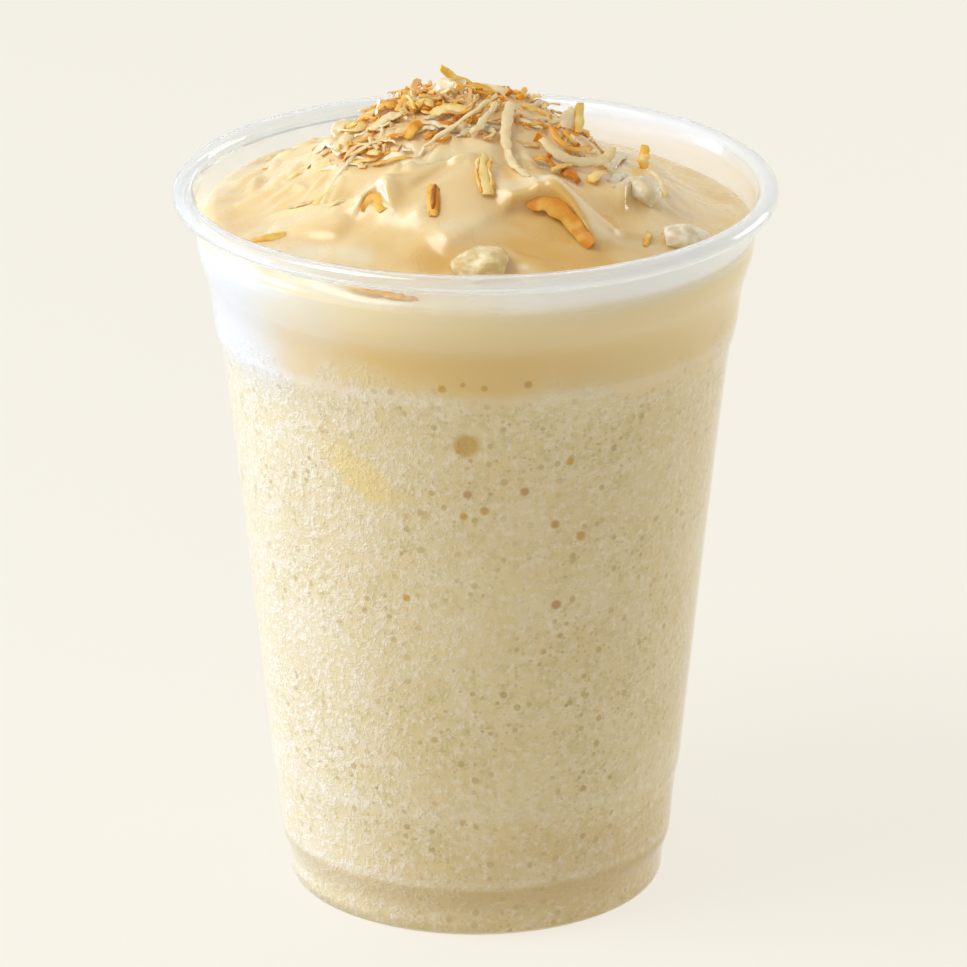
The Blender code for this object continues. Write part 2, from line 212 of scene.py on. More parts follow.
# Loose shreds and crumbs of the heap: numbers and sizes, and the mix of kinds at its creamy front and
# its toasted top.
SEED = 11
SHRED_COUNT = 230
SHORT_SHRED = (2, 5)
LONG_SHRED = (5, 9)
SHORT_SHARE = 0.75
CRUMB_COUNT = 300
CRUMB_SIZE = (0.45, 1.15)
CRUMB_SIDES = ((0.6, 1.3), (0.35, 0.7), (0.2, 0.45))
KINDS = ("coated", "pale", "golden", "brown")
FRONT_MIX = (0.65, 0.25, 0.08, 0.02)
TOP_MIX = (0.15, 0.40, 0.35, 0.13)
TOASTED_Y = (-14, -8)
LOOSE_Y = (-13.5, -9)
SPARSE_X = (0, 6)
SPARSE_Y = (2, 8)
SPARSE_SHARE = 0.65
CUPPED = 0.15
FLAKE_CUPPED = 0.06
THICKNESS = 0.26
RAGGED = 0.32
FLAKE_RAGGED = 0.12

# Shreds under a coat of cream, as low ridges on the bed and on the slope round it. None lies in the smooth
# front, which is a box as (left, right, front), and they are lower at the right.
STROKE_COUNT = 130
SLOPE_STROKE_COUNT = 130
BED_STROKES = (0, 1.05)
SLOPE_STROKES = (0.95, 1.6)
STROKE_HALF_LENGTH = (1.4, 4.5)
STROKE_HALF_WIDTH = (0.7, 1.4)
STROKE_RISE = (0.35, 0.9)
SMOOTH_FRONT = (-12, 6, -16)
CALM_X = (8, 18)
CALM_SHARE = 0.7
COATED_FROTH = 0.35

# Shreds that stand out of the heap: kind, toast, widths at both ends, then the points that it runs
# through, as (x, y, z).
STANDING = (
    ("golden", 0.42, (1.5, 1.2), (-5.6, 1.5, 138.7), (-3.5, 1.8, 136.9), (-1.1, 1.6, 135.8), (3, 1, 134.7)),
    ("pale", 0.1, (1.5, 1.2), (0.5, 2, 135.4), (4, 1, 134.9), (7.5, -1, 132)),
    ("pale", 0, (0.8, 0.7), (3.4, -2.6, 135.2), (-0.1, -7.9, 134.3), (-4, -10.7, 132.2), (-8.2, -13, 129.9)),
    ("pale", 0.05, (1, 1.2), (3.4, -5.5, 134.7), (0.8, -10.3, 132.8), (-0.9, -11.8, 131.8)),
    ("pale", 0.1, (1.9, 1.5), (5.6, -4.1, 134.4), (5.2, -7.5, 133.5), (4.8, -10.5, 131.5), (5, -13, 129.5)),
    ("pale", 0.1, (1.5, 0.7), (5, -13, 129.5), (5.6, -16.4, 128.8), (6.7, -18.8, 128.1), (8.6, -20.4, 127.3)),
    ("pale", 0.1, (1.6, 1.6), (10.4, -9.8, 130.2), (12.5, -11.4, 128.6), (15.1, -11.2, 127.2),
     (18.3, -9.4, 126.2), (21.1, -6.2, 125.8), (22, -5.2, 127.4)),
    ("brown", 0.1, (0.9, 1.2), (11.9, -5.6, 131), (13.6, -8.6, 129.2), (16.1, -8.2, 127.8),
     (18.5, -4.4, 127.2)),
    ("golden", 0.2, (1.9, 1.7), (16.4, -1.5, 128.6), (16.6, -0.2, 131), (16.9, 0.4, 132.9)),
    ("coated", 0.2, (2.6, 1.2), (14.6, -1.6, 129.4), (14.8, -0.8, 131), (15.3, 0, 132.2)),
    ("coated", 0.2, (2.8, 2.2), (-7, 2.6, 133.6), (-4.6, 1.6, 135.8), (-1.6, 0.6, 135.8)),
    ("brown", 0.1, (0.6, 0.8), (-20.6, -39, 115.6), (-17.4, -40.6, 115.4), (-14, -41.6, 115)),
    ("golden", 0.6, (1.1, 0.9), (-14.4, -41.6, 115.1), (-11.8, -42.4, 114.9), (-9, -42.8, 114.5)),
    ("golden", 0, (1.3, 2.1), (1.6, -15.2, 129.4), (1.2, -18.4, 128.8), (1.3, -21, 127.4),
     (1.8, -23.4, 125.4)),
    ("golden", 0.35, (0.5, 0.6), (0.8, -15.8, 129.4), (0.2, -18.8, 128.8), (0.4, -21.4, 127.2),
     (0.8, -23.2, 125.6)),
    ("golden", 0.35, (0.5, 0.6), (2.6, -16, 129.2), (2.2, -19, 128.6), (2.5, -21.6, 127),
     (2.8, -23.4, 125.4)),
    ("brown", 0, (0.6, 0.8), (7, -16.7, 127), (8.6, -18.1, 126.6), (9.9, -19, 126.2)),
)

# Pieces that lie in the heap or on the drink: kind, toast, width, then start, middle and end as
# (x, y, height over the drink).
LYING = (
    ("golden", 0.2, 2.1, (-7.4, -6.2, 4.4), (-4.4, -5.6, 5.2), (-1.6, -6.8, 5)),
    ("brown", 0.4, 1.2, (-6.8, -8.2, 3.7), (-5.1, -8.9, 3.7), (-3.2, -9.7, 3.4)),
    ("golden", 0.7, 2.2, (-11.4, -10.4, 2.6), (-10, -9.4, 3.8), (-8.9, -8.2, 3.9)),
    ("brown", 0.2, 1.5, (-15.8, 0.2, 4.2), (-14.4, -0.2, 4.8), (-12.8, -0.8, 4.2)),
    ("golden", 0.3, 0.9, (-12.8, -2.4, 4), (-11.1, -0.6, 5.6), (-9.6, -4.2, 4.6)),
    ("golden", 0.2, 1.2, (-9.4, -3.9, 4.9), (-8, -3, 5.6), (-6.8, -4.4, 4.9)),
    ("brown", 0.3, 1.3, (-14.2, -9.5, 2.5), (-12.9, -9.4, 3), (-11.4, -9.8, 2.8)),
    ("pale", 0.1, 1.6, (-16.4, -6, 3.2), (-14.1, -4.9, 4.2), (-12, -5, 4.2)),
    ("pale", 0.2, 0.9, (-8.6, -8.2, 4), (-6.4, -9.2, 3.9), (-4.3, -10.2, 3.5)),
    ("brown", 0.5, 1.1, (-8.2, -11.3, 2.4), (-7.3, -10.8, 3), (-6.5, -10.3, 2.9)),
    ("golden", 0.45, 1, (-20.4, -9.2, 0.4), (-16.6, -10.8, 0.9), (-13.4, -10.9, 1.2)),
    ("brown", 0.1, 0.8, (-16.6, -12.3, 0.5), (-13.4, -12.9, 1), (-10.4, -13.5, 0.9)),
    ("golden", 0.4, 1.6, (7.4, -4, 5), (9.2, -3, 5), (11.2, -1.8, 4.2)),
    ("brown", 0.1, 1, (8.6, -6.4, 3.4), (10, -5.2, 3.6), (12.2, -4.6, 3)),
    ("brown", 0.3, 1, (9.2, -13.2, 1.3), (10.9, -13.2, 1.9), (12.6, -13.4, 1.2)),
    ("golden", 0.3, 1, (12.2, -15.2, 0.9), (13.6, -13.4, 1.6), (15.2, -11.6, 1.4)),
    ("brown", 0.6, 1.6, (13.8, -13.3, 1), (15.2, -14, 1.4), (16.6, -14.8, 0.8)),
    ("golden", 0.2, 1.7, (18.2, -13.8, 0.8), (19.4, -11.9, 1.5), (20.5, -9, 1)),
    ("golden", 0.55, 2, (-6.6, -21.2, 0.5), (-6.7, -24, 0.9), (-6.8, -26.6, 0.5)),
    ("brown", 0.75, 0.7, (-6.5, -21.8, 0.9), (-6.7, -24, 1.3), (-6.8, -26, 0.9)),
    ("golden", 0.3, 1.8, (27.2, 3.2, 0.2), (27.3, 4.4, 2.4), (27.4, 5.2, 4)),
    ("pale", 0.2, 0.9, (28, 0.8, 0.9), (29.4, -3, 1.3), (30.8, -5.4, 0.4)),
    ("golden", 0.4, 1.1, (27, -22.4, 0.1), (27.2, -20.4, 0.4), (27.5, -18.4, 0.1)),
    ("brown", 0.1, 0.9, (-35.4, 7.9, 0.1), (-34.3, 8, 0.4), (-33.2, 8.4, 0.1)),
    ("golden", 0.15, 0.9, (-31.8, -3, 0.1), (-29.3, -2.4, 0.4), (-26.9, -2, 0.2)),
    ("golden", 0.1, 1.1, (-26, -16, 0.1), (-23.7, -14.8, 0.6), (-21.2, -13.8, 0.3)),
    ("golden", 0.05, 1, (-25.6, -17.4, 0.1), (-22.8, -18.6, 0.5), (-20.4, -18.6, 0.2)),
    ("pale", 0.6, 0.6, (-30.6, -13, 0.1), (-28.3, -13.3, 0.3), (-25.8, -14.2, 0.1)),
    ("pale", 0, 0.9, (-23, -12, 0.3), (-19.8, -8.6, 0.9), (-17.9, -6.1, 1.6), (-15.7, -1.5, 2.2)),
    ("pale", 0.15, 1.9, (-26.4, 1.8, 0.5), (-24.2, 1.4, 1.7), (-22.2, 0.2, 1)),
    ("pale", 0.1, 2, (-22.4, -3.8, 0.9), (-20.6, -2.2, 2.2), (-18.8, 0, 1.8)),
    ("golden", 0.4, 1.5, (-36.2, -21, 0.1), (-33.4, -21.6, 0.4), (-30.2, -21.8, 0.1)),
    ("coated", 0.1, 1.8, (21.6, -13.6, 0), (22.6, -9, 0.8), (24.4, -4.4, 0.3)),
    ("coated", 0.2, 1.8, (21.6, -4.2, 0), (23, 1.6, 0.6), (24.2, 7, 0.1)),
    ("golden", 0.3, 1.8, (4.6, 30.6, 0.3), (9, 29, 0.8), (13.2, 27.6, 0.3)),
    ("brown", 0.2, 1.7, (-20.4, 29, 0.3), (-17, 27, 0.8), (-13.8, 25.2, 0.3)),
    ("golden", 0.4, 1.6, (20.8, 21.4, 0.3), (23, 24, 0.8), (25.2, 26.6, 0.3)),
    ("pale", 0.4, 1.6, (-34, 14.2, 0.3), (-33, 17, 0.8), (-32, 19.8, 0.3)),
)

# Toasted flakes under the folds: kind, toast, width, thickness, way that the face looks, and path.
LARGE_PIECES = (
    ("brown", 0.22, 2.7, 0.25, (-0.15, -0.8, 0.6),
     ((8.2, -23.2, 1.5), (11, -23.4, 1.8), (13.6, -24.4, 1.8), (16, -26.2, 1.5), (18.2, -28.4, 0.8))),
    ("golden", 0.45, 2.4, 0.4, (0, -0.8, 0.6), ((-17.6, -22.2, 0), (-16, -21, 0.3), (-14.4, -23.4, 0))),
)

# Chunks of ice, as in the solid: node, x, y, turn in degrees, size, height of the middle over the drink.
ICE_CHUNKS = (
    ("ice_chunk_front", 0.8, -35.6, 10, (9.4, 7, 5.2), 0.6),
    ("ice_chunk_right", 33.2, -17, 20, (8, 5.6, 4.6), 0.6),
    ("ice_chunk_side", 26.6, -8.6, -30, (6.2, 5.2, 5), 0.8),
    ("ice_chunk_back", -20.5, 33.5, 25, (7, 6.2, 4.4), 0.5),
)
ICE_SQUARENESS = 2.8
ICE_CUTS = 6
ICE_UNEVEN = 0.045

# Paler froth on the drink's surface, and painted highlights on its white lumps, its ridge and a bright dot: x,
# y, radius, strength.
FROTH_AND_HIGHLIGHTS = (
    (-27.4, -26.8, 2.2, 1),
    (-24.6, -28.4, 1.8, 0.8),
    (-20.2, -30.4, 2.2, 1),
    (-17.4, -31.8, 1.6, 0.7),
    (-12.6, -24.8, 0.9, 0.6),
    (-9.6, -25.2, 1.6, 0.4),
    (-4, -29.4, 2.6, 0.6),
    (0.5, -28.6, 2.2, 0.4),
    (7.5, -34.9, 0.8, 1),
    (10, -20, 3, 0.5),
    (-16, -19, 3.4, 0.5),
    (31, -5, 4, 0.4),
    (-1, -22, 9, 0.2),
)

# Painted shade in the hollows between the lumps and under the folds and shreds: x, y, radius, strength.
SHADED_HOLLOWS = (
    (-7, -34.5, 5, 1),
    (9.5, -30.5, 5.5, 1),
    (16, -31, 6, 0.9),
    (5, -24.5, 3.5, 0.5),
    (2, -31.5, 3, 0.5),
    (23, -26.5, 6, 0.6),
    (20, -20, 4, 0.6),
    (-15, -30, 3, 0.3),
    (5.5, -15.5, 2.6, 0.8),
    (12.5, -10, 3.4, 0.8),
    (-16, -21.6, 1.5, 1),
    (9, -22.8, 1.6, 0.9),
    (12, -23.4, 1.8, 0.9),
    (15.4, -25, 1.8, 0.9),
    (25.6, -10, 2, 0.8),
)
FROTH_RING = (36.5, 41.5)
FROTH_FRONT = (16, 30)
# Rise of a fold over which its crest takes a full painted highlight.
HIGHLIGHT_FOLD_RISE = (0.6, 1.6)

# Large bubbles against the wall: x, height, radius, and how brown they look.
BUBBLES = (
    (-1.4, 89.2, 2.1, 0.1),
    (7.8, 80.9, 0.8, 0.9),
    (-1.3, 80.7, 0.75, 1),
    (1.4, 77.8, 0.8, 0.2),
    (-1.9, 76.8, 0.7, 0),
    (15, 85.4, 0.7, 0),
    (12.7, 74.6, 0.8, 0.7),
    (16.8, 71.9, 0.9, 0),
    (12.9, 60.2, 0.9, 1),
    (-11.1, 61.7, 0.7, 0),
    (-5.3, 99.4, 0.7, 0.1),
    (-2, 100.2, 0.5, 0.3),
    (1.4, 99.6, 0.6, 0.1),
    (8.3, 100, 0.7, 0.4),
)
DENT_LEAST_RADIUS = 1.5
DENT_DEPTH = 0.45

# Streak of smooth drink between the bubbles: middle x and height, half length, half width, slope in degrees.
STREAK = (-18.4, 82.4, 6.4, 2.9, -40)

# Zones of the drink: where each starts and ends, as heights, or as places across where the name has an X.
BUBBLES_END = (94.5, 102.5)
BRIM_BAND = (103, 111)
# The painted sheen on the lit upper left: heights where it starts, then places across.
LIT_LEFT_BAND = (88, 100)
LIT_LEFT_X = (-18, -40)
# Across, where the painted sheen on the right of the smooth band grows.
SHEEN_RIGHT_X = (0, 38)
FOOT_BAND = (26, 12)
# Across, where the foot's painted shade grows from left to right.
FOOT_SHADE_X = (-30, 20)
# The band of painted shade under the foot's step: where it fades in from the top, and out towards the foot.
SHADE_UNDER_RING_TOP = (9.5, 8.2)
SHADE_UNDER_RING_FOOT = (3, 7)
SLUSH_X = (16, 30)
ICE_X = (10, 30)

# Colours, as the shader's linear values. Ice is (dull, bright), at the front and at the right.
CREAM = (0.86, 0.61, 0.25)
PALE_CREAM = (0.90, 0.68, 0.33)
# Painted shade of the hollows.
HOLLOW_SHADE_CREAM = (0.74, 0.42, 0.07)
# Paler froth, and painted highlights.
FROTH_AND_HIGHLIGHT_WHITE = (0.92, 0.79, 0.53)
SIDE_WARM = (0.75, 0.57, 0.27)
SIDE_COOL = (0.78, 0.61, 0.31)
SIDE_PALE = (0.90, 0.80, 0.64)
SIDE_OLIVE = (0.62, 0.50, 0.20)
SIDE_SMOOTH = (0.75, 0.50, 0.165)
# Paler drink near the brim, also used as painted sheen at the right.
SIDE_BRIM_AND_SHEEN = (0.88, 0.70, 0.38)
# The foot's darker colour, which also carries painted shade towards the right.
SIDE_FOOT = (0.70, 0.50, 0.21)
SIDE_PINK = (0.82, 0.68, 0.46)
# Painted shade under the foot's step.
SHADE_UNDER_RING = (0.56, 0.39, 0.15)
# Painted sheen of the lit left side.
SIDE_LIT_LEFT = (0.68, 0.63, 0.52)
STREAK_YELLOW = (0.82, 0.59, 0.20)
SLUSH = (0.76, 0.58, 0.33)
BUBBLE_OLIVE = (0.48, 0.37, 0.10)
BUBBLE_BROWN = (0.52, 0.28, 0.09)
BIG_BUBBLE = (0.60, 0.34, 0.03)
ICE_FRONT = ((0.88, 0.66, 0.30), (0.93, 0.79, 0.50))
ICE_RIGHT = ((0.90, 0.75, 0.49), (0.96, 0.87, 0.70))

# Coconut by kind: colours of its toasted edge, its middle and its palest parts. TOAST_STEPS are how toasted
# the palest, the middle and the most toasted parts are.
COCONUT_COLOURS = {
    "pale": ((0.86, 0.46, 0.13), (0.90, 0.62, 0.28), (0.95, 0.76, 0.45)),
    "golden": ((0.76, 0.28, 0.01), (0.95, 0.50, 0.07), (0.97, 0.72, 0.30)),
    "brown": ((0.40, 0.11, 0.004), (0.74, 0.26, 0.012), (0.92, 0.48, 0.08)),
}
TOAST_STEPS = (0.3, 0.7, 1)


# Helpers for meshes and materials

def smooth_step(low, high, value):
    share = min(max((value - low) / (high - low), 0.0), 1.0)
    return share * share * (3.0 - 2.0 * share)


def uneven(x, y, layer, length):
    """Smooth noise from -1 to 1, with swells of about a length. Each use has its own layer."""
    return noise.noise(Vector((x, y, layer)) / length)


def turned(dx, dy, heading):
    """An offset along and across a heading."""
    cosine, sine = math.cos(heading), math.sin(heading)
    return dx * cosine + dy * sine, dy * cosine - dx * sine


def ring(radius, height, segments):
    """Points of a level ring round the cup's axis."""
    turns = [math.tau * k / segments for k in range(segments)]
    return [(radius * math.cos(turn), radius * math.sin(turn), height) for turn in turns]


def closed_faces(point_count, segments):
    """Faces of a closed shape whose points are one at the top, then rings, then one at the bottom."""
    last = point_count - 1 - segments
    faces = [(0, 1 + k, 1 + (k + 1) % segments) for k in range(segments)]
    for upper in range(1, last, segments):
        lower = upper + segments
        for k in range(segments):
            n = (k + 1) % segments
            faces.append((upper + k, lower + k, lower + n, upper + n))
    faces += [(point_count - 1, last + (k + 1) % segments, last + k) for k in range(segments)]
    return faces


def make_piece(name, points, faces, materials, replaced):
    """A smooth mesh piece from points in millimetres, which rides on root and stands for CAD nodes."""
    mesh = bpy.data.meshes.new(name)
    mesh.from_pydata([tuple(c * MM for c in p) for p in points], [], faces)
    mesh.validate()
    mesh.shade_smooth()
    for material in materials:
        mesh.materials.append(material)
    piece = bpy.data.objects.new(name, mesh)
    bpy.context.scene.collection.objects.link(piece)
    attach(piece, "root")
    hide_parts(*replaced)
    return piece


def paint(mesh, name, values):
    """Stores one number for each point, which the materials read as an attribute."""
    layer = mesh.attributes.new(name, "FLOAT", "POINT")
    layer.data.foreach_set("value", values)


class Tree:
    """A material's node tree, with short calls that add and link nodes."""

    def __init__(self, name):
        self.material = bpy.data.materials.new(name)
        self.material.use_nodes = True
        self.nodes = self.material.node_tree.nodes
        self.links = self.material.node_tree.links
        self.shader = self.nodes["Principled BSDF"]
        self.output = self.nodes["Material Output"]

    def add(self, kind, inputs=None, **settings):
        node = self.nodes.new(kind)
        for key, value in settings.items():
            setattr(node, key, value)
        for key, value in (inputs or {}).items():
            self.feed(node.inputs[key], value)
        return node

    def feed(self, socket, value):
        if isinstance(value, bpy.types.NodeSocket):
            self.links.new(value, socket)
        elif hasattr(value, "outputs"):
            self.links.new(value.outputs[0], socket)
        elif socket.type == "RGBA":
            socket.default_value = (*value, 1.0)
        else:
            socket.default_value = value

    def set(self, **values):
        """Sets or links the main shader's inputs, with _ for each space in a name."""
        for key, value in values.items():
            self.feed(self.shader.inputs[key.replace("_", " ")], value)

    def place(self):
        return self.add("ShaderNodeTexCoord").outputs["Object"]

    def painted(self, name):
        return self.add("ShaderNodeAttribute", attribute_name=name).outputs["Fac"]

    def axis(self, index, at=None):
        return self.add("ShaderNodeSeparateXYZ", {0: at or self.place()}).outputs[index]

    def math(self, operation, a, b):
        return self.add("ShaderNodeMath", {0: a, 1: b}, operation=operation).outputs[0]

    def times(self, a, b):
        return self.math("MULTIPLY", a, b)

    def vector(self, operation, a, b, output="Vector"):
        return self.add("ShaderNodeVectorMath", {0: a, 1: b}, operation=operation).outputs[output]

    def noise(self, size, detail=3.0, roughness=0.5, at=None, distortion=0.0):
        """Noise whose features are about a size in millimetres."""
        inputs = {
            "Vector": at or self.place(),
            "Scale": 1.0 / (size * MM),
            "Detail": detail,
            "Roughness": roughness,
            "Distortion": distortion,
        }
        return self.add("ShaderNodeTexNoise", inputs).outputs["Fac"]

    def ramp(self, value, low, high, out_low=0.0, out_high=1.0):
        inputs = {"Value": value, "From Min": low, "From Max": high, "To Min": out_low, "To Max": out_high}
        return self.add("ShaderNodeMapRange", inputs, interpolation_type="SMOOTHSTEP").outputs[0]

    def ramp_mm(self, value, limits, out_low=0.0, out_high=1.0):
        """A ramp over a length, between limits in millimetres."""
        low, high = limits
        return self.ramp(value, low * MM, high * MM, out_low, out_high)

    def mix(self, share, first, second):
        return self.add("ShaderNodeMix", {0: share, 6: first, 7: second}, data_type="RGBA").outputs[2]

    def bump(self, height, distance, strength):
        inputs = {"Height": height, "Distance": distance * MM, "Strength": strength}
        return self.add("ShaderNodeBump", inputs).outputs[0]


# Materials

def cup_material():
    """Clear plastic, milky where painted so, and the milk also paints highlights and sheen. Lamps' rays and
    bounced light pass straight through.
    """
    tree = Tree("clear_plastic")
    milk_and_sheen = tree.painted("milk_and_sheen")
    tree.set(
        Base_Color=tree.mix(milk_and_sheen, PLASTIC_TINT, MILK_AND_SHEEN_TINT),
        Transmission_Weight=tree.math("SUBTRACT", 1.0, milk_and_sheen),
        IOR=1.46,
        Roughness=tree.ramp(tree.noise(9.0, 1.0), 0.35, 0.75, 0.02, 0.07),
        Normal=tree.bump(tree.noise(7.0, 1.0), 0.06, 0.5),
    )
    path = tree.add("ShaderNodeLightPath")
    passes = tree.math("MAXIMUM", path.outputs["Is Shadow Ray"], path.outputs["Is Diffuse Ray"])
    through = tree.add("ShaderNodeBsdfTransparent", {"Color": PLASTIC_TINT})
    mixed = tree.add("ShaderNodeMixShader", {0: passes, 1: tree.shader, 2: through})
    tree.feed(tree.output.inputs["Surface"], mixed)
    return tree.material


def cream_material(name):
    """Glossy, wet cream: paler where it froths and where highlights are painted on its crests, darker with
    painted shade in its hollows, and slushy at the right.
    """
    tree = Tree(name)
    clouds = tree.ramp(tree.noise(9.0, 2.0, distortion=0.5), 0.35, 0.7)
    colour = tree.mix(clouds, CREAM, PALE_CREAM)
    # Painted shade: deeper cream in the hollows and in the swells' troughs.
    colour = tree.mix(tree.times(tree.painted("hollow_shade"), 0.85), colour, HOLLOW_SHADE_CREAM)
    # Paler froth, with painted highlights on the lumps and the crests.
    colour = tree.mix(tree.times(tree.painted("froth_and_highlight"), 0.9), colour, FROTH_AND_HIGHLIGHT_WHITE)
    slushy = tree.ramp(tree.noise(3.6, 3.0, 0.6), 0.38, 0.66)
    icy = tree.times(tree.ramp_mm(tree.axis(0), SLUSH_X), slushy)
    colour = tree.mix(tree.times(icy, 0.55), colour, SLUSH)
    fine = tree.math("ADD", tree.noise(1.8, 2.0), tree.times(icy, 0.8))
    tree.set(
        Base_Color=colour,
        Roughness=tree.ramp(tree.noise(5.0, 3.0), 0.3, 0.7, 0.24, 0.38),
        Subsurface_Weight=0.45,
        Subsurface_Radius=(1.0, 0.75, 0.45),
        Subsurface_Scale=4.0 * MM,
        Coat_Weight=0.35,
        Coat_Roughness=0.15,
        Normal=tree.bump(fine, 0.06, 0.5),
    )
    return tree.material


def bubble_dots(tree, at, size, least, most):
    """Round dots of uneven size, one in each cell: their share from 0 to 1, and a tone for each."""
    cells = tree.add("ShaderNodeTexVoronoi", {"Vector": at, "Scale": 1.0 / (size * MM)})
    split = tree.add("ShaderNodeSeparateColor", {0: cells.outputs["Color"]})
    reach = tree.ramp(split.outputs[0], 0.0, 1.0, least, most)
    return tree.ramp(tree.math("DIVIDE", cells.outputs["Distance"], reach), 1.15, 0.7), split.outputs[1]


def front_point(x, z):
    """A point on the front of the drink's side, in metres."""
    reach = wall_radius(z)
    return x * MM, -math.sqrt(reach * reach - x * x) * MM, z * MM


def streak_share(tree, at):
    """Share of the smooth streak, an uneven slanting oval on the drink's front."""
    x, z, half_length, half_width, slope = STREAK
    from_middle = tree.vector("SUBTRACT", at, front_point(x, z))
    cosine, sine = math.cos(math.radians(slope)), math.sin(math.radians(slope))
    total = tree.ramp(tree.noise(4.0, 2.0, 0.5, at), 0.2, 0.8, -0.45, 0.45)
    for way, half in (((cosine, 0.0, sine), half_length), ((-sine, 0.0, cosine), half_width)):
        along = tree.math("DIVIDE", tree.vector("DOT_PRODUCT", from_middle, way, "Value"), half * MM)
        total = tree.math("ADD", total, tree.times(along, along))
    in_front = tree.math("LESS_THAN", tree.axis(1, at), 0.0)
    return tree.times(tree.ramp(total, 1.7, 0.2), in_front)


def drink_side_material():
    """Blended ice and air behind the wall: mottled cream full of small round bubbles, with painted sheen on
    its left and right and painted shade at its foot.
    """
    tree = Tree("drink_side")
    at = tree.place()
    across, height = tree.axis(0, at), tree.axis(2, at)
    wander = tree.ramp(tree.noise(9.0, 2.0, 0.5, at), 0.2, 0.8, -3.0 * MM, 3.0 * MM)
    wavy = tree.math("ADD", height, wander)
    smooth_band = tree.ramp_mm(wavy, BUBBLES_END)
    zone = tree.ramp_mm(wavy, BUBBLES_END[::-1])

    base = tree.mix(tree.ramp(tree.noise(15.0, 1.0, 0.5, at), 0.35, 0.65), SIDE_WARM, SIDE_COOL)
    # Darker towards the foot, with painted shade that grows to the right.
    foot = tree.times(tree.ramp_mm(across, FOOT_SHADE_X, 0.05, 0.95), tree.ramp_mm(wavy, FOOT_BAND))
    base = tree.mix(foot, base, SIDE_FOOT)
    patches = tree.ramp(tree.noise(6.0, 2.0, 0.6, at, 0.4), 0.44, 0.66, 0.0, 0.35)
    base = tree.mix(tree.times(patches, zone), base, SIDE_PINK)
    pale = tree.ramp(tree.noise(1.2, 3.0, 0.7, at), 0.42, 0.66)
    base = tree.mix(tree.times(pale, tree.times(zone, 0.42)), base, SIDE_PALE)
    moved = tree.vector("ADD", at, (0.31, 0.17, 0.53))
    bubbly = tree.times(tree.ramp(tree.noise(14.0, 1.0, 0.5, moved), 0.35, 0.65, 0.35, 1.0), zone)
    olive = tree.ramp(tree.noise(1.5, 3.0, 0.7, moved), 0.46, 0.66, 0.0, 0.75)
    base = tree.mix(tree.times(olive, bubbly), base, SIDE_OLIVE)
    base = tree.mix(smooth_band, base, SIDE_SMOOTH)
    base = tree.mix(tree.ramp_mm(height, BRIM_BAND, 0.0, 0.9), base, SIDE_BRIM_AND_SHEEN)
    # Painted sheen: the smooth band is paler towards the right.
    right_sheen = tree.ramp_mm(across, SHEEN_RIGHT_X, 0.0, 0.6)
    base = tree.mix(tree.times(right_sheen, smooth_band), base, SIDE_BRIM_AND_SHEEN)
    # Painted sheen: a paler, whiter veil on the upper left, where the side lamp falls.
    lit_left = tree.ramp_mm(tree.math("ADD", across, wander), LIT_LEFT_X, 0.0, 0.95)
    base = tree.mix(tree.times(lit_left, tree.ramp_mm(height, LIT_LEFT_BAND)), base, SIDE_LIT_LEFT)

    small, _ = bubble_dots(tree, at, 1.1, 0.08, 0.34)
    large, tone = bubble_dots(tree, moved, 2.2, 0.08, 0.30)
    dots = tree.math("MAXIMUM", tree.times(small, 0.55), tree.times(large, 0.95))
    dark = tree.mix(tone, BUBBLE_OLIVE, BUBBLE_BROWN)
    colour = tree.mix(tree.times(tree.times(dots, bubbly), 0.75), base, dark)
    # Painted shade in a band under the foot's step.
    above_foot = tree.ramp_mm(height, SHADE_UNDER_RING_FOOT, 0.0, 0.55)
    colour = tree.mix(tree.times(tree.ramp_mm(height, SHADE_UNDER_RING_TOP), above_foot), colour, SHADE_UNDER_RING)
    colour = tree.mix(tree.times(streak_share(tree, at), 0.8), colour, STREAK_YELLOW)
    for x, z, radius, brown in BUBBLES:
        gap = tree.vector("DISTANCE", at, front_point(x, z), "Value")
        spot = tree.ramp_mm(gap, (1.3 * radius, 0.6 * radius), 0.0, 0.95)
        colour = tree.mix(spot, colour, Vector(BIG_BUBBLE).lerp(Vector(BUBBLE_BROWN), brown))
    tree.set(
        Base_Color=colour,
        Roughness=0.4,
        Normal=tree.bump(tree.times(pale, zone), 0.2, 0.5),
    )
    return tree.material


def ice_material():
    """Wet crushed ice, clouded with fine air and coated with a little cream."""
    tree = Tree("ice")
    clouds = tree.ramp(tree.noise(2.6, 3.0, 0.5), 0.35, 0.7)
    right = tree.ramp_mm(tree.axis(0), ICE_X)
    dull, bright = [tree.mix(right, *pair) for pair in zip(ICE_FRONT, ICE_RIGHT)]
    tree.set(
        Base_Color=tree.mix(clouds, dull, bright),
        Transmission_Weight=tree.ramp(clouds, 0.0, 1.0, 0.25, 0.0),
        IOR=1.31,
        Roughness=0.2,
        Subsurface_Weight=0.6,
        Subsurface_Radius=(1.0, 0.9, 0.7),
        Subsurface_Scale=3.0 * MM,
        Normal=tree.bump(tree.noise(1.8, 1.0), 0.06, 0.4),
    )
    return tree.material


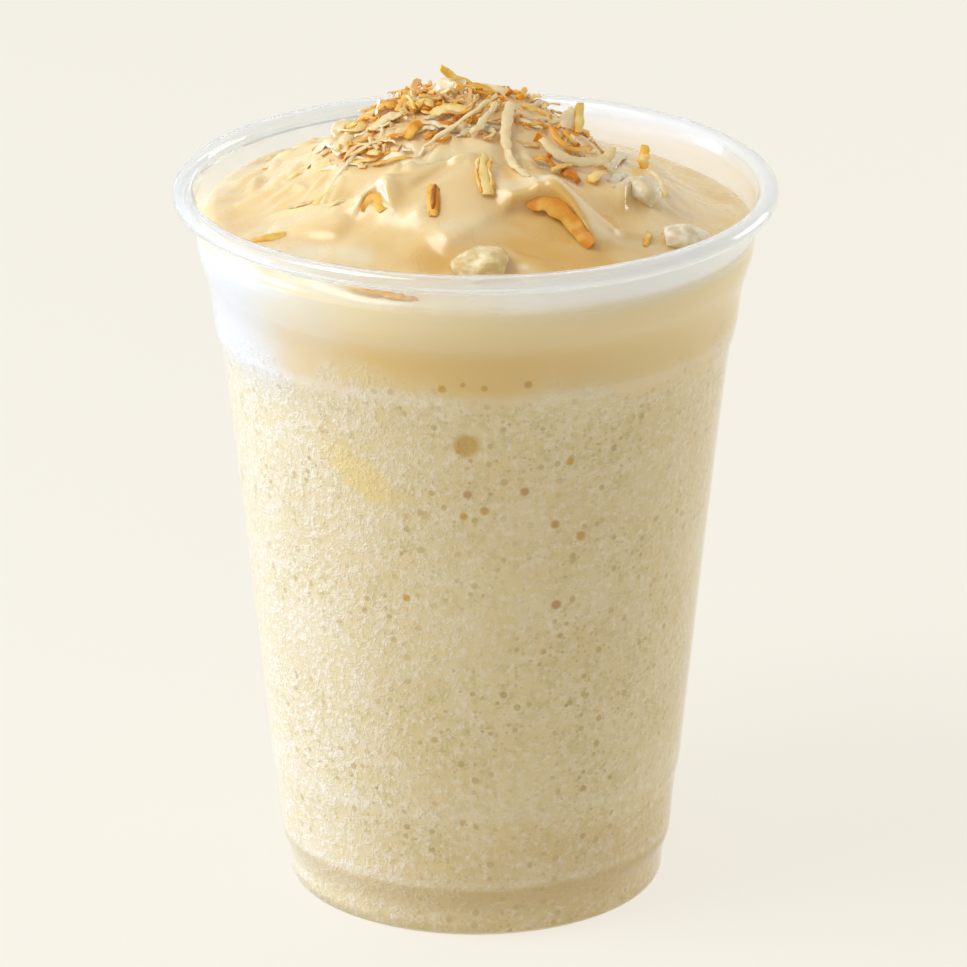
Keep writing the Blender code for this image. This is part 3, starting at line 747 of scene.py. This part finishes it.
def coconut_material(kind):
    """Dried coconut, from its darker toasted edge to its paler middle, with a little gloss of oil."""
    tree = Tree(f"coconut_{kind}")
    dark, middle, pale = COCONUT_COLOURS[kind]
    least, half, most = TOAST_STEPS
    shade = tree.times(tree.painted("toast"), 0.85)
    value = tree.math("ADD", shade, tree.times(tree.noise(1.6, 4.0), 0.45))
    colour = tree.mix(tree.ramp(value, least, half), pale, middle)
    colour = tree.mix(tree.ramp(value, half, most), colour, dark)
    tree.set(
        Base_Color=colour,
        Roughness=0.45,
        Specular_IOR_Level=0.35,
        Subsurface_Weight=0.35,
        Subsurface_Radius=(1.0, 0.6, 0.3),
        Subsurface_Scale=1.5 * MM,
        Normal=tree.bump(tree.noise(0.5, 3.0), 0.08, 0.5),
    )
    return tree.material


# Cup

def wall_radius(height):
    """Outer radius of the wall at a height, with its corners rounded."""
    total = 0.0
    for shift in (-1.0, -0.5, 0.0, 0.5, 1.0):
        total += float(np.interp(height + shift * WALL_BLUR, *zip(*WALL)))
    return total / 5.0


def wall_heights():
    """Heights of the wall's rows, close together at its steps."""
    heights = [WALL[0][0]]
    while heights[-1] < WALL[-1][0] - 0.5 * ROW_SPACING:
        plain = PLAIN_WALL[0] < heights[-1] < PLAIN_WALL[1]
        heights.append(heights[-1] + (PLAIN_ROW_SPACING if plain else ROW_SPACING))
    heights[-1] = WALL[-1][0]
    return heights


def curl_arc(radius, start_deg, end_deg):
    middle_r, middle_z = RIM_RADIUS - CURL_RADIUS, CUP_HEIGHT - CURL_RADIUS
    arc = []
    for i in range(CURL_STEPS + 1):
        angle = math.radians(start_deg + (end_deg - start_deg) * i / CURL_STEPS)
        arc.append((middle_r + radius * math.cos(angle), middle_z + radius * math.sin(angle)))
    return arc


def cup_milk_and_sheen(x, y, height):
    """How milky the plastic is at a point, from 0 to 1, with painted highlights on the steps and a painted
    sheen on the neck and rim that grows to the right.
    """
    radius = math.hypot(x, y)
    right = smooth_step(*SHEEN_LEFT_TO_RIGHT, x)

    def between(pair):
        return pair[0] + (pair[1] - pair[0]) * right

    middle, half_width = NECK_RING
    share = between(RIM_MILK_AND_SHEEN) * smooth_step(*RIM_MILK_RISES, height)
    share = max(share, between(NECK_SHEEN) * smooth_step(half_width, 0.0, abs(height - middle)))
    # Painted highlights on the wall's steps.
    for middle, half_width, strength in STEP_HIGHLIGHT_RINGS:
        share = max(share, strength * smooth_step(half_width, 0.0, abs(height - middle)))
    if radius > wall_radius(height) + SHEET and LEVEL < height < CURL_FOOT:
        behind = smooth_step(*FRONT_TO_BACK, y)
        share = max(share, between(CURL_FOOT_MILK_AND_SHEEN) * (1.0 - behind) + CURL_FOOT_MILK_BEHIND * behind)
    return share


def make_cup():
    outside = [(wall_radius(z), z) for z in wall_heights()]
    inside = [(r - SHEET, max(z, FLOOR_THICKNESS + FLOOR_EDGE_RISE)) for r, z in outside]
    floor = [
        (0.0, PUNT_HEIGHT + FLOOR_THICKNESS),
        (PUNT_RADIUS + SHEET, PUNT_HEIGHT + FLOOR_THICKNESS),
        (FOOT_INNER_RADIUS + SHEET, FLOOR_THICKNESS),
        (FOOT_EDGE_RADIUS - SHEET, FLOOR_THICKNESS),
    ]
    underside = [
        FOOT_CORNER,
        (FOOT_EDGE_RADIUS, 0.0),
        (FOOT_INNER_RADIUS, 0.0),
        (PUNT_RADIUS, PUNT_HEIGHT),
        (0.0, PUNT_HEIGHT),
    ]
    over = curl_arc(CURL_RADIUS, 180.0, CURL_TIP_DEG) + curl_arc(CURL_RADIUS - SHEET, CURL_TIP_DEG, 180.0)
    profile = floor + inside + over + list(reversed(outside)) + underside
    points = [(0.0, 0.0, profile[0][1])]
    for radius, height in profile[1:-1]:
        points += ring(radius, height, CUP_SEGMENTS)
    points.append((0.0, 0.0, profile[-1][1]))
    faces = closed_faces(len(points), CUP_SEGMENTS)
    cup = make_piece("cup_shell", points, faces, [cup_material()], ["cup"])
    cup.data.set_sharp_from_angle(angle=math.radians(CUP_SHARP_DEG))
    paint(cup.data, "milk_and_sheen", [cup_milk_and_sheen(*point) for point in points])


# Drink

def lump_height(x, y):
    height = 0.0
    for lump_x, lump_y, rise, half_length, half_width, heading in LUMPS:
        along, across = turned(x - lump_x, y - lump_y, math.radians(heading))
        height += rise * math.exp(-((along / half_length) ** 2) - (across / half_width) ** 2)
    return height


def drink_top(x, y):
    """Height of the drink's surface, as in the solid."""
    radius = math.hypot(x, y)
    off_centre = math.hypot(x - MOUND_CENTRE[0], y - MOUND_CENTRE[1])
    height = SHOULDER_HEIGHT - SHOULDER_LEAN * x / RIM_RADIUS
    height += MOUND_HEIGHT * math.exp(-((off_centre / MOUND_RADIUS) ** MOUND_POWER))
    height += SWELL * uneven(x, y, 3.0, SWELL_LENGTH) * smooth_step(*SWELL_RISES, radius)
    height += lump_height(x, y)
    edge = wall_radius(LEVEL) - WALL_BITE
    if radius > SHOULDER_RADIUS:
        share = min((radius - SHOULDER_RADIUS) / (edge - SHOULDER_RADIUS), 1.0)
        height = LEVEL + (height - LEVEL) * math.sqrt(1.0 - share * share)
    return height


@functools.lru_cache(maxsize=None)
def fold_curves():
    """The folds with their crests as smooth curves, each with the box that it reaches."""
    made = []
    for crest, rise, behind, front in FOLDS:
        knots = [Vector((x, y, 0.0)) for x, y in crest]
        line = [(p.x, p.y) for p in curve_through(knots, FOLD_STEPS * (len(knots) - 1))]
        margin = FOLD_REACH * behind
        low = (min(x for x, _ in line) - margin, min(y for _, y in line) - margin)
        high = (max(x for x, _ in line) + margin, max(y for _, y in line) + margin)
        made.append((line, rise, behind, front, low, high))
    return made


@functools.lru_cache(maxsize=None)
def fold_pull(x, y):
    """How far the named folds move a point of the surface: forwards, so that they curl over, and up."""
    pull = Vector((0.0, 0.0, 0.0))
    for line, rise, behind, front, low, high in fold_curves():
        if not (low[0] < x < high[0] and low[1] < y < high[1]):
            continue
        away, along, length, ahead = math.inf, 0.0, 0.0, (0.0, 0.0)
        for (ax, ay), (bx, by) in zip(line, line[1:]):
            span = math.hypot(bx - ax, by - ay)
            ux, uy = (bx - ax) / span, (by - ay) / span
            run = min(max((x - ax) * ux + (y - ay) * uy, 0.0), span)
            gap = math.hypot(x - ax - run * ux, y - ay - run * uy)
            if gap < abs(away):
                away = gap if (x - ax) * uy - (y - ay) * ux > 0.0 else -gap
                along = length + run
                ahead = (uy, -ux)
            length += span
        reach = front if away > 0.0 else behind
        ends = smooth_step(0.0, FOLD_END_FADE, along) * smooth_step(0.0, FOLD_END_FADE, length - along)
        lift = rise * ends * math.exp(-((away / reach) ** 2))
        pull += Vector((FOLD_CURL * lift * ahead[0], FOLD_CURL * lift * ahead[1], lift))
    return pull


def ripple(x, y):
    """Soft, flowing swells of the melted surface, from -1 to 1."""
    warp = RIPPLE_WARP * noise.noise_vector(Vector((x, y, 2.0)) / RIPPLE_WARP_LENGTH)
    return noise.noise(Vector((x, RIPPLE_SQUEEZE * y, 11.0)) / RIPPLE_LENGTH + warp)


def relief(x, y):
    """Height of the folds, the swells and the finer unevenness on them."""
    return fold_pull(x, y).z + RIPPLE_RISE * ripple(x, y) + FINE_RISE * uneven(x, y, 23.0, FINE_LENGTH)


def surface(x, y):
    return drink_top(x, y) + relief(x, y) * (1.0 - smooth_step(*RELIEF_FADE, math.hypot(x, y)))


def strokes(rng, count, reach):
    """Shreds under a coat of cream: x, y, heading, half length, half width, rise."""
    made = []
    left, right, front = SMOOTH_FRONT
    while len(made) < count:
        x, y = heap_point(rng.uniform(*reach), rng.uniform(0.0, math.tau))
        calm = 1.0 - CALM_SHARE * smooth_step(*CALM_X, x)
        half_length, half_width = rng.uniform(*STROKE_HALF_LENGTH), rng.uniform(*STROKE_HALF_WIDTH)
        rise = calm * rng.uniform(*STROKE_RISE)
        heading = rng.uniform(0.0, math.pi)
        if not (left < x < right and y < front):
            made.append((x, y, heading, half_length, half_width, rise))
    return made


def coated(x, y, ridges):
    """Height that the coated shreds add at a point."""
    height = 0.0
    for ridge_x, ridge_y, heading, half_length, half_width, rise in ridges:
        if abs(x - ridge_x) > half_length + 2.0 or abs(y - ridge_y) > half_length + 2.0:
            continue
        along, across = turned(x - ridge_x, y - ridge_y, heading)
        height = max(height, rise * math.exp(-((along / half_length) ** 4) - (across / half_width) ** 2))
    return height


def dent(turn, height):
    """Depth of the large bubbles' dents in the drink's side."""
    depth = 0.0
    for x, z, radius, _ in BUBBLES:
        if radius < DENT_LEAST_RADIUS or abs(height - z) > 2.0 * radius or math.sin(turn) > 0.0:
            continue
        gap = math.hypot(wall_radius(z) * math.cos(turn) - x, height - z)
        depth += DENT_DEPTH * math.exp(-((gap / radius) ** 2) * 1.5)
    return depth


def make_drink():
    """The drink: a top of rings that crowd towards the wall, then rows down the side, then its foot."""
    edge = wall_radius(LEVEL) - WALL_BITE
    turns = [math.tau * k / DRINK_SEGMENTS for k in range(DRINK_SEGMENTS)]
    ridges = strokes(random.Random(SEED + 6), SLOPE_STROKE_COUNT, SLOPE_STROKES)
    points = [(0.0, 0.0, surface(0.0, 0.0))]
    for i in range(1, TOP_RINGS):
        radius = edge * (i / TOP_RINGS) ** RING_CROWDING
        for turn in turns:
            x, y = radius * math.cos(turn), radius * math.sin(turn)
            pull = fold_pull(x, y)
            points.append((x + pull.x, y + pull.y, surface(x, y) + coated(x, y, ridges)))
    for i in range(SIDE_ROWS + 1):
        height = LEVEL - (LEVEL - DRINK_FOOT) * i / SIDE_ROWS
        reach = wall_radius(height) - WALL_BITE
        for turn in turns:
            radius = reach - dent(turn, height)
            points.append((radius * math.cos(turn), radius * math.sin(turn), height))
    inside_floor = PUNT_HEIGHT + 0.5 * FLOOR_THICKNESS
    points += ring(FOOT_INNER_RADIUS + WALL_BITE, DRINK_FOOT, DRINK_SEGMENTS)
    points += ring(PUNT_RADIUS + WALL_BITE, inside_floor, DRINK_SEGMENTS)
    points.append((0.0, 0.0, inside_floor))

    faces = closed_faces(len(points), DRINK_SEGMENTS)
    top_faces = TOP_RINGS * DRINK_SEGMENTS
    materials = [cream_material("drink_surface"), drink_side_material()]
    drink = make_piece("drink_body", points, faces, materials, ["drink"])
    drink.data.polygons.foreach_set("material_index", [int(i >= top_faces) for i in range(len(faces))])
    paint(drink.data, "froth_and_highlight", [froth_and_highlight(p[0], p[1]) for p in points])
    paint(drink.data, "hollow_shade", [hollow_shade(p[0], p[1]) for p in points])


def spots(x, y, places):
    total = 0.0
    for spot_x, spot_y, radius, strength in places:
        total += strength * math.exp(-((x - spot_x) ** 2 + (y - spot_y) ** 2) / radius ** 2)
    return min(total, 1.0)


def froth_and_highlight(x, y):
    radius = math.hypot(x, y)
    patchy = 0.5 + 0.9 * uneven(x, y, 31.0, 6.0)
    brim = smooth_step(*FROTH_RING, radius) * smooth_step(*FROTH_FRONT, -y)
    # Painted highlight on the crests of the swells and the folds.
    crest = 0.3 * max(ripple(x, y), 0.0) + 0.5 * smooth_step(*HIGHLIGHT_FOLD_RISE, fold_pull(x, y).z)
    return min(spots(x, y, FROTH_AND_HIGHLIGHTS) + 0.7 * brim * min(max(patchy + 0.3, 0.0), 1.0) + crest, 1.0)


# Painted shade in the hollows and in the swells' troughs.
def hollow_shade(x, y):
    return min(spots(x, y, SHADED_HOLLOWS) + 0.5 * max(-ripple(x, y), 0.0), 1.0)


# Ice

def make_ice(material):
    for index, (node, x, y, turn, size, over) in enumerate(ICE_CHUNKS):
        rng = random.Random(SEED + index)
        cuts = []
        for _ in range(ICE_CUTS):
            way = Vector((rng.gauss(0, 1), rng.gauss(0, 1), rng.gauss(0.3, 1))).normalized()
            cuts.append((way, rng.uniform(0.78, 0.92)))
        ball = bmesh.new()
        bmesh.ops.create_icosphere(ball, subdivisions=5, radius=1.0)
        spin = Matrix.Rotation(math.radians(turn), 3, "Z")
        middle = Vector((x, y, drink_top(x, y) + over))
        points = []
        for vertex in ball.verts:
            way = vertex.co.normalized()
            reach = sum(abs(c) ** ICE_SQUARENESS for c in way) ** (-1.0 / ICE_SQUARENESS)
            spot = way * reach
            for cut, depth in cuts:
                beyond = spot.dot(cut) - depth
                if beyond > 0.0:
                    spot -= cut * beyond * 0.8
            spot += way * ICE_UNEVEN * noise.noise(spot * 3.2 + Vector((index * 7.0, 0.0, 0.0)))
            scaled = Vector([0.5 * s * c for s, c in zip(size, spot)])
            points.append(tuple(middle + spin @ scaled))
        faces = [[v.index for v in face.verts] for face in ball.faces]
        ball.free()
        make_piece(node + "_clear", points, faces, [material], [node])


# Coconut

def heap_share(x, y):
    return math.hypot((x - HEAP_CENTRE[0]) / HEAP_RADIUS_X, (y - HEAP_CENTRE[1]) / HEAP_RADIUS_Y)


def heap_point(share, turn):
    """A point of the heap's oval, at a share of its reach."""
    x = HEAP_CENTRE[0] + share * HEAP_RADIUS_X * math.cos(turn)
    return x, HEAP_CENTRE[1] + share * HEAP_RADIUS_Y * math.sin(turn)


def pile(x, y):
    """Height of the heap over the drink."""
    share = min(heap_share(x, y), 1.0)
    return PILE_HEIGHT * (1.0 - share * share) * (1.0 + HEAP_UNEVEN * uneven(x, y, 8.0, 6.0))


class Batch:
    """Many shreds of one kind, gathered into one mesh, each with its own toast from 0 to 1."""

    SECTION = (
        (-1.0, 0.5), (-0.6, 1.0), (0.6, 1.0), (1.0, 0.5),
        (1.0, -0.5), (0.6, -1.0), (-0.6, -1.0), (-1.0, -0.5),
    )
    CORNERS = [(x, y, z) for x in (-1, 1) for y in (-1, 1) for z in (-1, 1)]
    BLOCK = ((0, 1, 3, 2), (4, 6, 7, 5), (0, 4, 5, 1), (2, 3, 7, 6), (0, 2, 6, 4), (1, 5, 7, 3))

    def __init__(self):
        self.points, self.faces, self.toast = [], [], []

    def shred(self, centres, normals, widths, thickness, cupped, toasts, edge, ragged=RAGGED):
        """One strip along its centres, a closed tube with a flat, cupped section and one toasted edge."""
        count = len(self.SECTION)
        rings = []
        last = len(centres) - 1
        for i, centre in enumerate(centres):
            ahead = (centres[min(i + 1, last)] - centres[max(i - 1, 0)]).normalized()
            side = normals[i].cross(ahead).normalized()
            up = ahead.cross(side).normalized()
            rings.append(len(self.points))
            for across, over in self.SECTION:
                lift = 0.5 * thickness * over - cupped * across * across * widths[i]
                point = centre + side * (0.5 * widths[i] * across) + up * lift
                torn = ragged * noise.noise_vector(point * 1.1)
                self.points.append(tuple(point + torn))
                patch = 0.45 * noise.noise(point * 0.7)
                self.toast.append(toasts[i] + edge * max(across, 0.0) ** 2 + patch)
        for first, second in zip(rings, rings[1:]):
            for k in range(count):
                n = (k + 1) % count
                self.faces.append((first + k, first + n, second + n, second + k))
        self.faces.append(tuple(rings[0] + k for k in reversed(range(count))))
        self.faces.append(tuple(rings[-1] + k for k in range(count)))

    def placed(self, knots, width, toast, normal, rng, thickness=THICKNESS, cupped=CUPPED, ragged=RAGGED):
        """A shred that runs through its knots."""
        steps = 6 * (len(knots) - 1)
        centres = curve_through(knots, steps)
        twist = rng.uniform(-0.7, 0.7)
        ahead = (knots[-1] - knots[0]).normalized()
        normals = []
        for i in range(steps + 1):
            turn = Matrix.Rotation(twist * (i / steps - 0.5), 3, ahead)
            normals.append((turn @ normal).normalized())
        toasts = [toast + 0.2 * abs(2.0 * i / steps - 1.0) ** 4 for i in range(steps + 1)]
        widths = taper(steps, width, rng)
        self.shred(centres, normals, widths, thickness, cupped, toasts, 0.35, ragged)

    def crumb(self, middle, size, rng):
        """A broken bit of a shred, an uneven little block."""
        spin = Euler([rng.uniform(0.0, math.tau) for _ in range(3)]).to_matrix()
        half = [size * rng.uniform(*side) for side in CRUMB_SIDES]
        first = len(self.points)
        tone = rng.random() ** 1.3
        for corner in self.CORNERS:
            jitter = Vector([c * h * rng.uniform(0.55, 1.0) for c, h in zip(corner, half)])
            self.points.append(tuple(middle + spin @ jitter))
            self.toast.append(tone + rng.uniform(-0.2, 0.4))
        for face in self.BLOCK:
            self.faces.append(tuple(first + index for index in face))

    def piece(self, name, material, replaced):
        made = make_piece(name, self.points, self.faces, [material], replaced)
        paint(made.data, "toast", self.toast)
        made.data.set_sharp_from_angle(angle=math.radians(SHRED_SHARP_DEG))
        return made


def curve_through(knots, steps):
    """Points on a smooth curve that passes through every knot."""
    padded = [2.0 * knots[0] - knots[1], *knots, 2.0 * knots[-1] - knots[-2]]
    made = []
    for i in range(steps + 1):
        at = i / steps * (len(knots) - 1)
        k = min(int(at), len(knots) - 2)
        share = at - k
        a, b, c, d = padded[k:k + 4]
        linear = (c - a) * share
        square = (2.0 * a - 5.0 * b + 4.0 * c - d) * share ** 2
        cube = (3.0 * b - a - 3.0 * c + d) * share ** 3
        made.append(0.5 * (2.0 * b + linear + square + cube))
    return made


def random_path(rng, x, y, level, length, steps):
    """Centres and normals of a curled shred that lies at a level over the drink round a point."""
    heading = rng.uniform(0.0, math.tau)
    bow = rng.gauss(0.0, 1.1)
    pitch = rng.gauss(0.0, 0.15)
    sag = rng.uniform(-0.02, 0.12) * length
    tilt = Vector((rng.gauss(0.0, 0.45), rng.gauss(0.0, 0.45), 1.0)).normalized()
    twist = rng.gauss(0.0, 0.8)
    base = surface(x, y)
    centres, normals = [], []
    for i in range(steps + 1):
        along = i / steps - 0.5
        direction = heading + bow * along
        px = x + length * along * math.cos(direction)
        py = y + length * along * math.sin(direction)
        ground = surface(px, py)
        pz = level + base + 0.85 * (ground - base) + pitch * length * along - sag * 4.0 * along * along
        centres.append(Vector((px, py, max(pz, ground + 0.35))))
        ahead = Vector((math.cos(direction), math.sin(direction), 0.0))
        side = tilt.cross(ahead)
        normals.append((tilt + side * math.tan(twist * along)).normalized())
    return centres, normals


def taper(steps, width, rng):
    """Widths along a shred, from one end's width to the other's, with narrow, torn ends."""
    first, last = width
    phase = rng.uniform(0.0, 100.0)
    widths = []
    for i in range(steps + 1):
        end = abs(2.0 * i / steps - 1.0)
        middle = first + (last - first) * i / steps
        waver = 1.0 + 0.3 * noise.noise(Vector((phase, 0.25 * i, 0.0)))
        widths.append(middle * (1.0 - 0.35 * end ** 6) * waver)
    return widths


def heap_kind(rng, y):
    """More toast at the top of the heap, more cream towards its front."""
    toasted = smooth_step(*TOASTED_Y, y)
    weights = [front + (top - front) * toasted for front, top in zip(FRONT_MIX, TOP_MIX)]
    return rng.choices(KINDS, weights)[0]


def loose_share(x, y):
    """How much loose coconut lies at a spot: little on the creamy front and on the front's right."""
    front = smooth_step(*LOOSE_Y, y)
    right = smooth_step(*SPARSE_X, x) * (1.0 - smooth_step(*SPARSE_Y, y))
    return front * (1.0 - SPARSE_SHARE * right)


def heap_spot(rng, reach):
    """A spot in the heap, more often where more coconut lies loose."""
    while True:
        x, y = heap_point(math.sqrt(rng.random()) * reach, rng.uniform(0.0, math.tau))
        if rng.random() < loose_share(x, y):
            return x, y


def scatter_shreds(batches, rng):
    for _ in range(SHRED_COUNT):
        x, y = heap_spot(rng, 1.05)
        length = rng.uniform(*(SHORT_SHRED if rng.random() < SHORT_SHARE else LONG_SHRED))
        steps = 6 if length < 6.0 else 10
        level = 0.25 + pile(x, y) * rng.uniform(0.5, 0.95)
        centres, normals = random_path(rng, x, y, level, length, steps)
        width = rng.uniform(0.5, 1.5)
        widths = taper(steps, (width, width * rng.uniform(0.6, 1.2)), rng)
        tone = rng.random() ** 1.5
        toasts = [tone + 0.3 * abs(2.0 * i / steps - 1.0) ** 3 for i in range(steps + 1)]
        edge = rng.uniform(0.0, 0.7)
        batch = batches[heap_kind(rng, y)]
        batch.shred(centres, normals, widths, rng.uniform(0.2, 0.35), rng.uniform(0.0, 0.3), toasts, edge)


def scatter_crumbs(batches, rng):
    for _ in range(CRUMB_COUNT):
        x, y = heap_spot(rng, 0.95)
        size = rng.uniform(*CRUMB_SIZE)
        level = CORE_SHARE * pile(x, y) + rng.uniform(0.1, 0.3) * size + 0.35 * pile(x, y) * rng.random()
        middle = Vector((x, y, surface(x, y) + level))
        batches[heap_kind(rng, y + 3.0)].crumb(middle, size, rng)


def place_shreds(batches, rng):
    """The shreds that the eye picks out, one by one."""
    for kind, toast, width, *path in STANDING:
        knots = [Vector(point) for point in path]
        batches[kind].placed(knots, width, toast, Vector((0.15, -0.75, 0.65)), rng)
    for kind, toast, width, *path in LYING:
        knots = [Vector((x, y, surface(x, y) + over)) for x, y, over in path]
        batches[kind].placed(knots, (width, width), toast, Vector((0.0, -0.35, 0.94)), rng)


def place_large(batches, rng):
    for kind, toast, width, thickness, way, path in LARGE_PIECES:
        knots = [Vector((x, y, surface(x, y) + over)) for x, y, over in path]
        shape = (thickness, FLAKE_CUPPED, FLAKE_RAGGED)
        batches[kind].placed(knots, (width, width), toast, Vector(way), rng, *shape)


def make_heap(materials):
    rng = random.Random(SEED)
    batches = {kind: Batch() for kind in materials}
    scatter_shreds(batches, rng)
    scatter_crumbs(batches, rng)
    place_shreds(batches, rng)
    place_large(batches, rng)
    for kind, batch in batches.items():
        piece = batch.piece(f"coconut_{kind}", materials[kind], ["coconut_heap", "drink"])
        if kind == "coated":
            paint(piece.data, "froth_and_highlight", [COATED_FROTH] * len(batch.points))


def make_heap_bed(material):
    """The damp mass of coconut and cream under the loose shreds."""
    ridges = strokes(random.Random(SEED + 5), STROKE_COUNT, BED_STROKES)
    points = []
    for i in range(BED_RINGS + 1):
        share = i / BED_RINGS * BED_REACH
        fade = 1.0 - smooth_step(*BED_FADE, share)
        for k in range(BED_SEGMENTS if i else 1):
            x, y = heap_point(share, math.tau * k / BED_SEGMENTS)
            lift = CORE_SHARE * pile(x, y) + CRAG_RISE * uneven(x, y, 5.0, CRAG_LENGTH) + coated(x, y, ridges)
            points.append((x, y, surface(x, y) + (lift + BED_SINK) * fade - BED_SINK))
    points.append((*HEAP_CENTRE, LEVEL))
    faces = closed_faces(len(points), BED_SEGMENTS)
    bed = make_piece("heap_bed", points, faces, [material], ["coconut_heap"])
    # Towards the toasted top, painted shade in the gaps between the shreds; towards the front, paler froth.
    toasted = [smooth_step(*BED_SHADE_Y, p[1]) for p in points]
    paint(bed.data, "froth_and_highlight", [0.4 * (1.0 - share) for share in toasted])
    paint(bed.data, "hollow_shade", [0.45 * share for share in toasted])


# Stage

def make_lamp(name, place, target, size, power, colour):
    data = bpy.data.lights.new(name, "AREA")
    data.shape = "RECTANGLE"
    data.size, data.size_y = (s * MM for s in size)
    data.energy = power
    data.color = colour
    light = bpy.data.objects.new(name, data)
    light.location = Vector(place) * MM
    aim = (Vector(target) - Vector(place)).normalized()
    light.rotation_euler = aim.to_track_quat("-Z", "Y").to_euler()
    bpy.context.scene.collection.objects.link(light)


def make_stage():
    scene = bpy.context.scene
    floor_tree = Tree("floor")
    floor_tree.set(
        Base_Color=FLOOR_COLOUR,
        Roughness=0.9,
        Specular_IOR_Level=0.1,
        Emission_Color=FLOOR_GLOW,
        Emission_Strength=FLOOR_GLOW_STRENGTH,
    )
    floor_mesh = bpy.data.meshes.new("floor")
    reach = FLOOR_REACH_METRES
    corners = [(-reach, -reach, 0), (reach, -reach, 0), (reach, reach, 0), (-reach, reach, 0)]
    floor_mesh.from_pydata(corners, [], [(0, 1, 2, 3)])
    floor_mesh.materials.append(floor_tree.material)
    floor = bpy.data.objects.new("floor", floor_mesh)
    scene.collection.objects.link(floor)

    world = bpy.data.worlds.new("world")
    world.use_nodes = True
    sky = world.node_tree.nodes["Background"]
    sky.inputs[0].default_value = (*SKY_COLOUR, 1.0)
    path = world.node_tree.nodes.new("ShaderNodeLightPath")
    level = world.node_tree.nodes.new("ShaderNodeMapRange")
    level.inputs["To Min"].default_value = SKY_SEEN
    level.inputs["To Max"].default_value = SKY_LIGHT
    world.node_tree.links.new(path.outputs["Is Diffuse Ray"], level.inputs["Value"])
    world.node_tree.links.new(level.outputs[0], sky.inputs[1])
    scene.world = world

    for lamp in LAMPS:
        make_lamp(*lamp)

    data = bpy.data.cameras.new("camera")
    data.lens = CAMERA_LENS
    data.sensor_width = CAMERA_SENSOR
    data.clip_end = CAMERA_FAR_METRES
    camera = bpy.data.objects.new("camera", data)
    back = Vector((0.0, -math.cos(CAMERA_ELEVATION), math.sin(CAMERA_ELEVATION)))
    camera.location = (CAMERA_TARGET + back * CAMERA_DISTANCE) * MM
    camera.rotation_euler = (-back).to_track_quat("-Z", "Y").to_euler()
    scene.collection.objects.link(camera)
    scene.camera = camera
    scene.view_settings.view_transform = "Standard"


def main():
    # Without a seed, the vectors of the noise module differ from run to run.
    noise.seed_set(SEED)
    make_stage()
    make_cup()
    make_drink()
    cream = cream_material("heap_cream")
    make_heap_bed(cream)
    make_heap({"coated": cream, **{kind: coconut_material(kind) for kind in COCONUT_COLOURS}})
    make_ice(ice_material())


main()
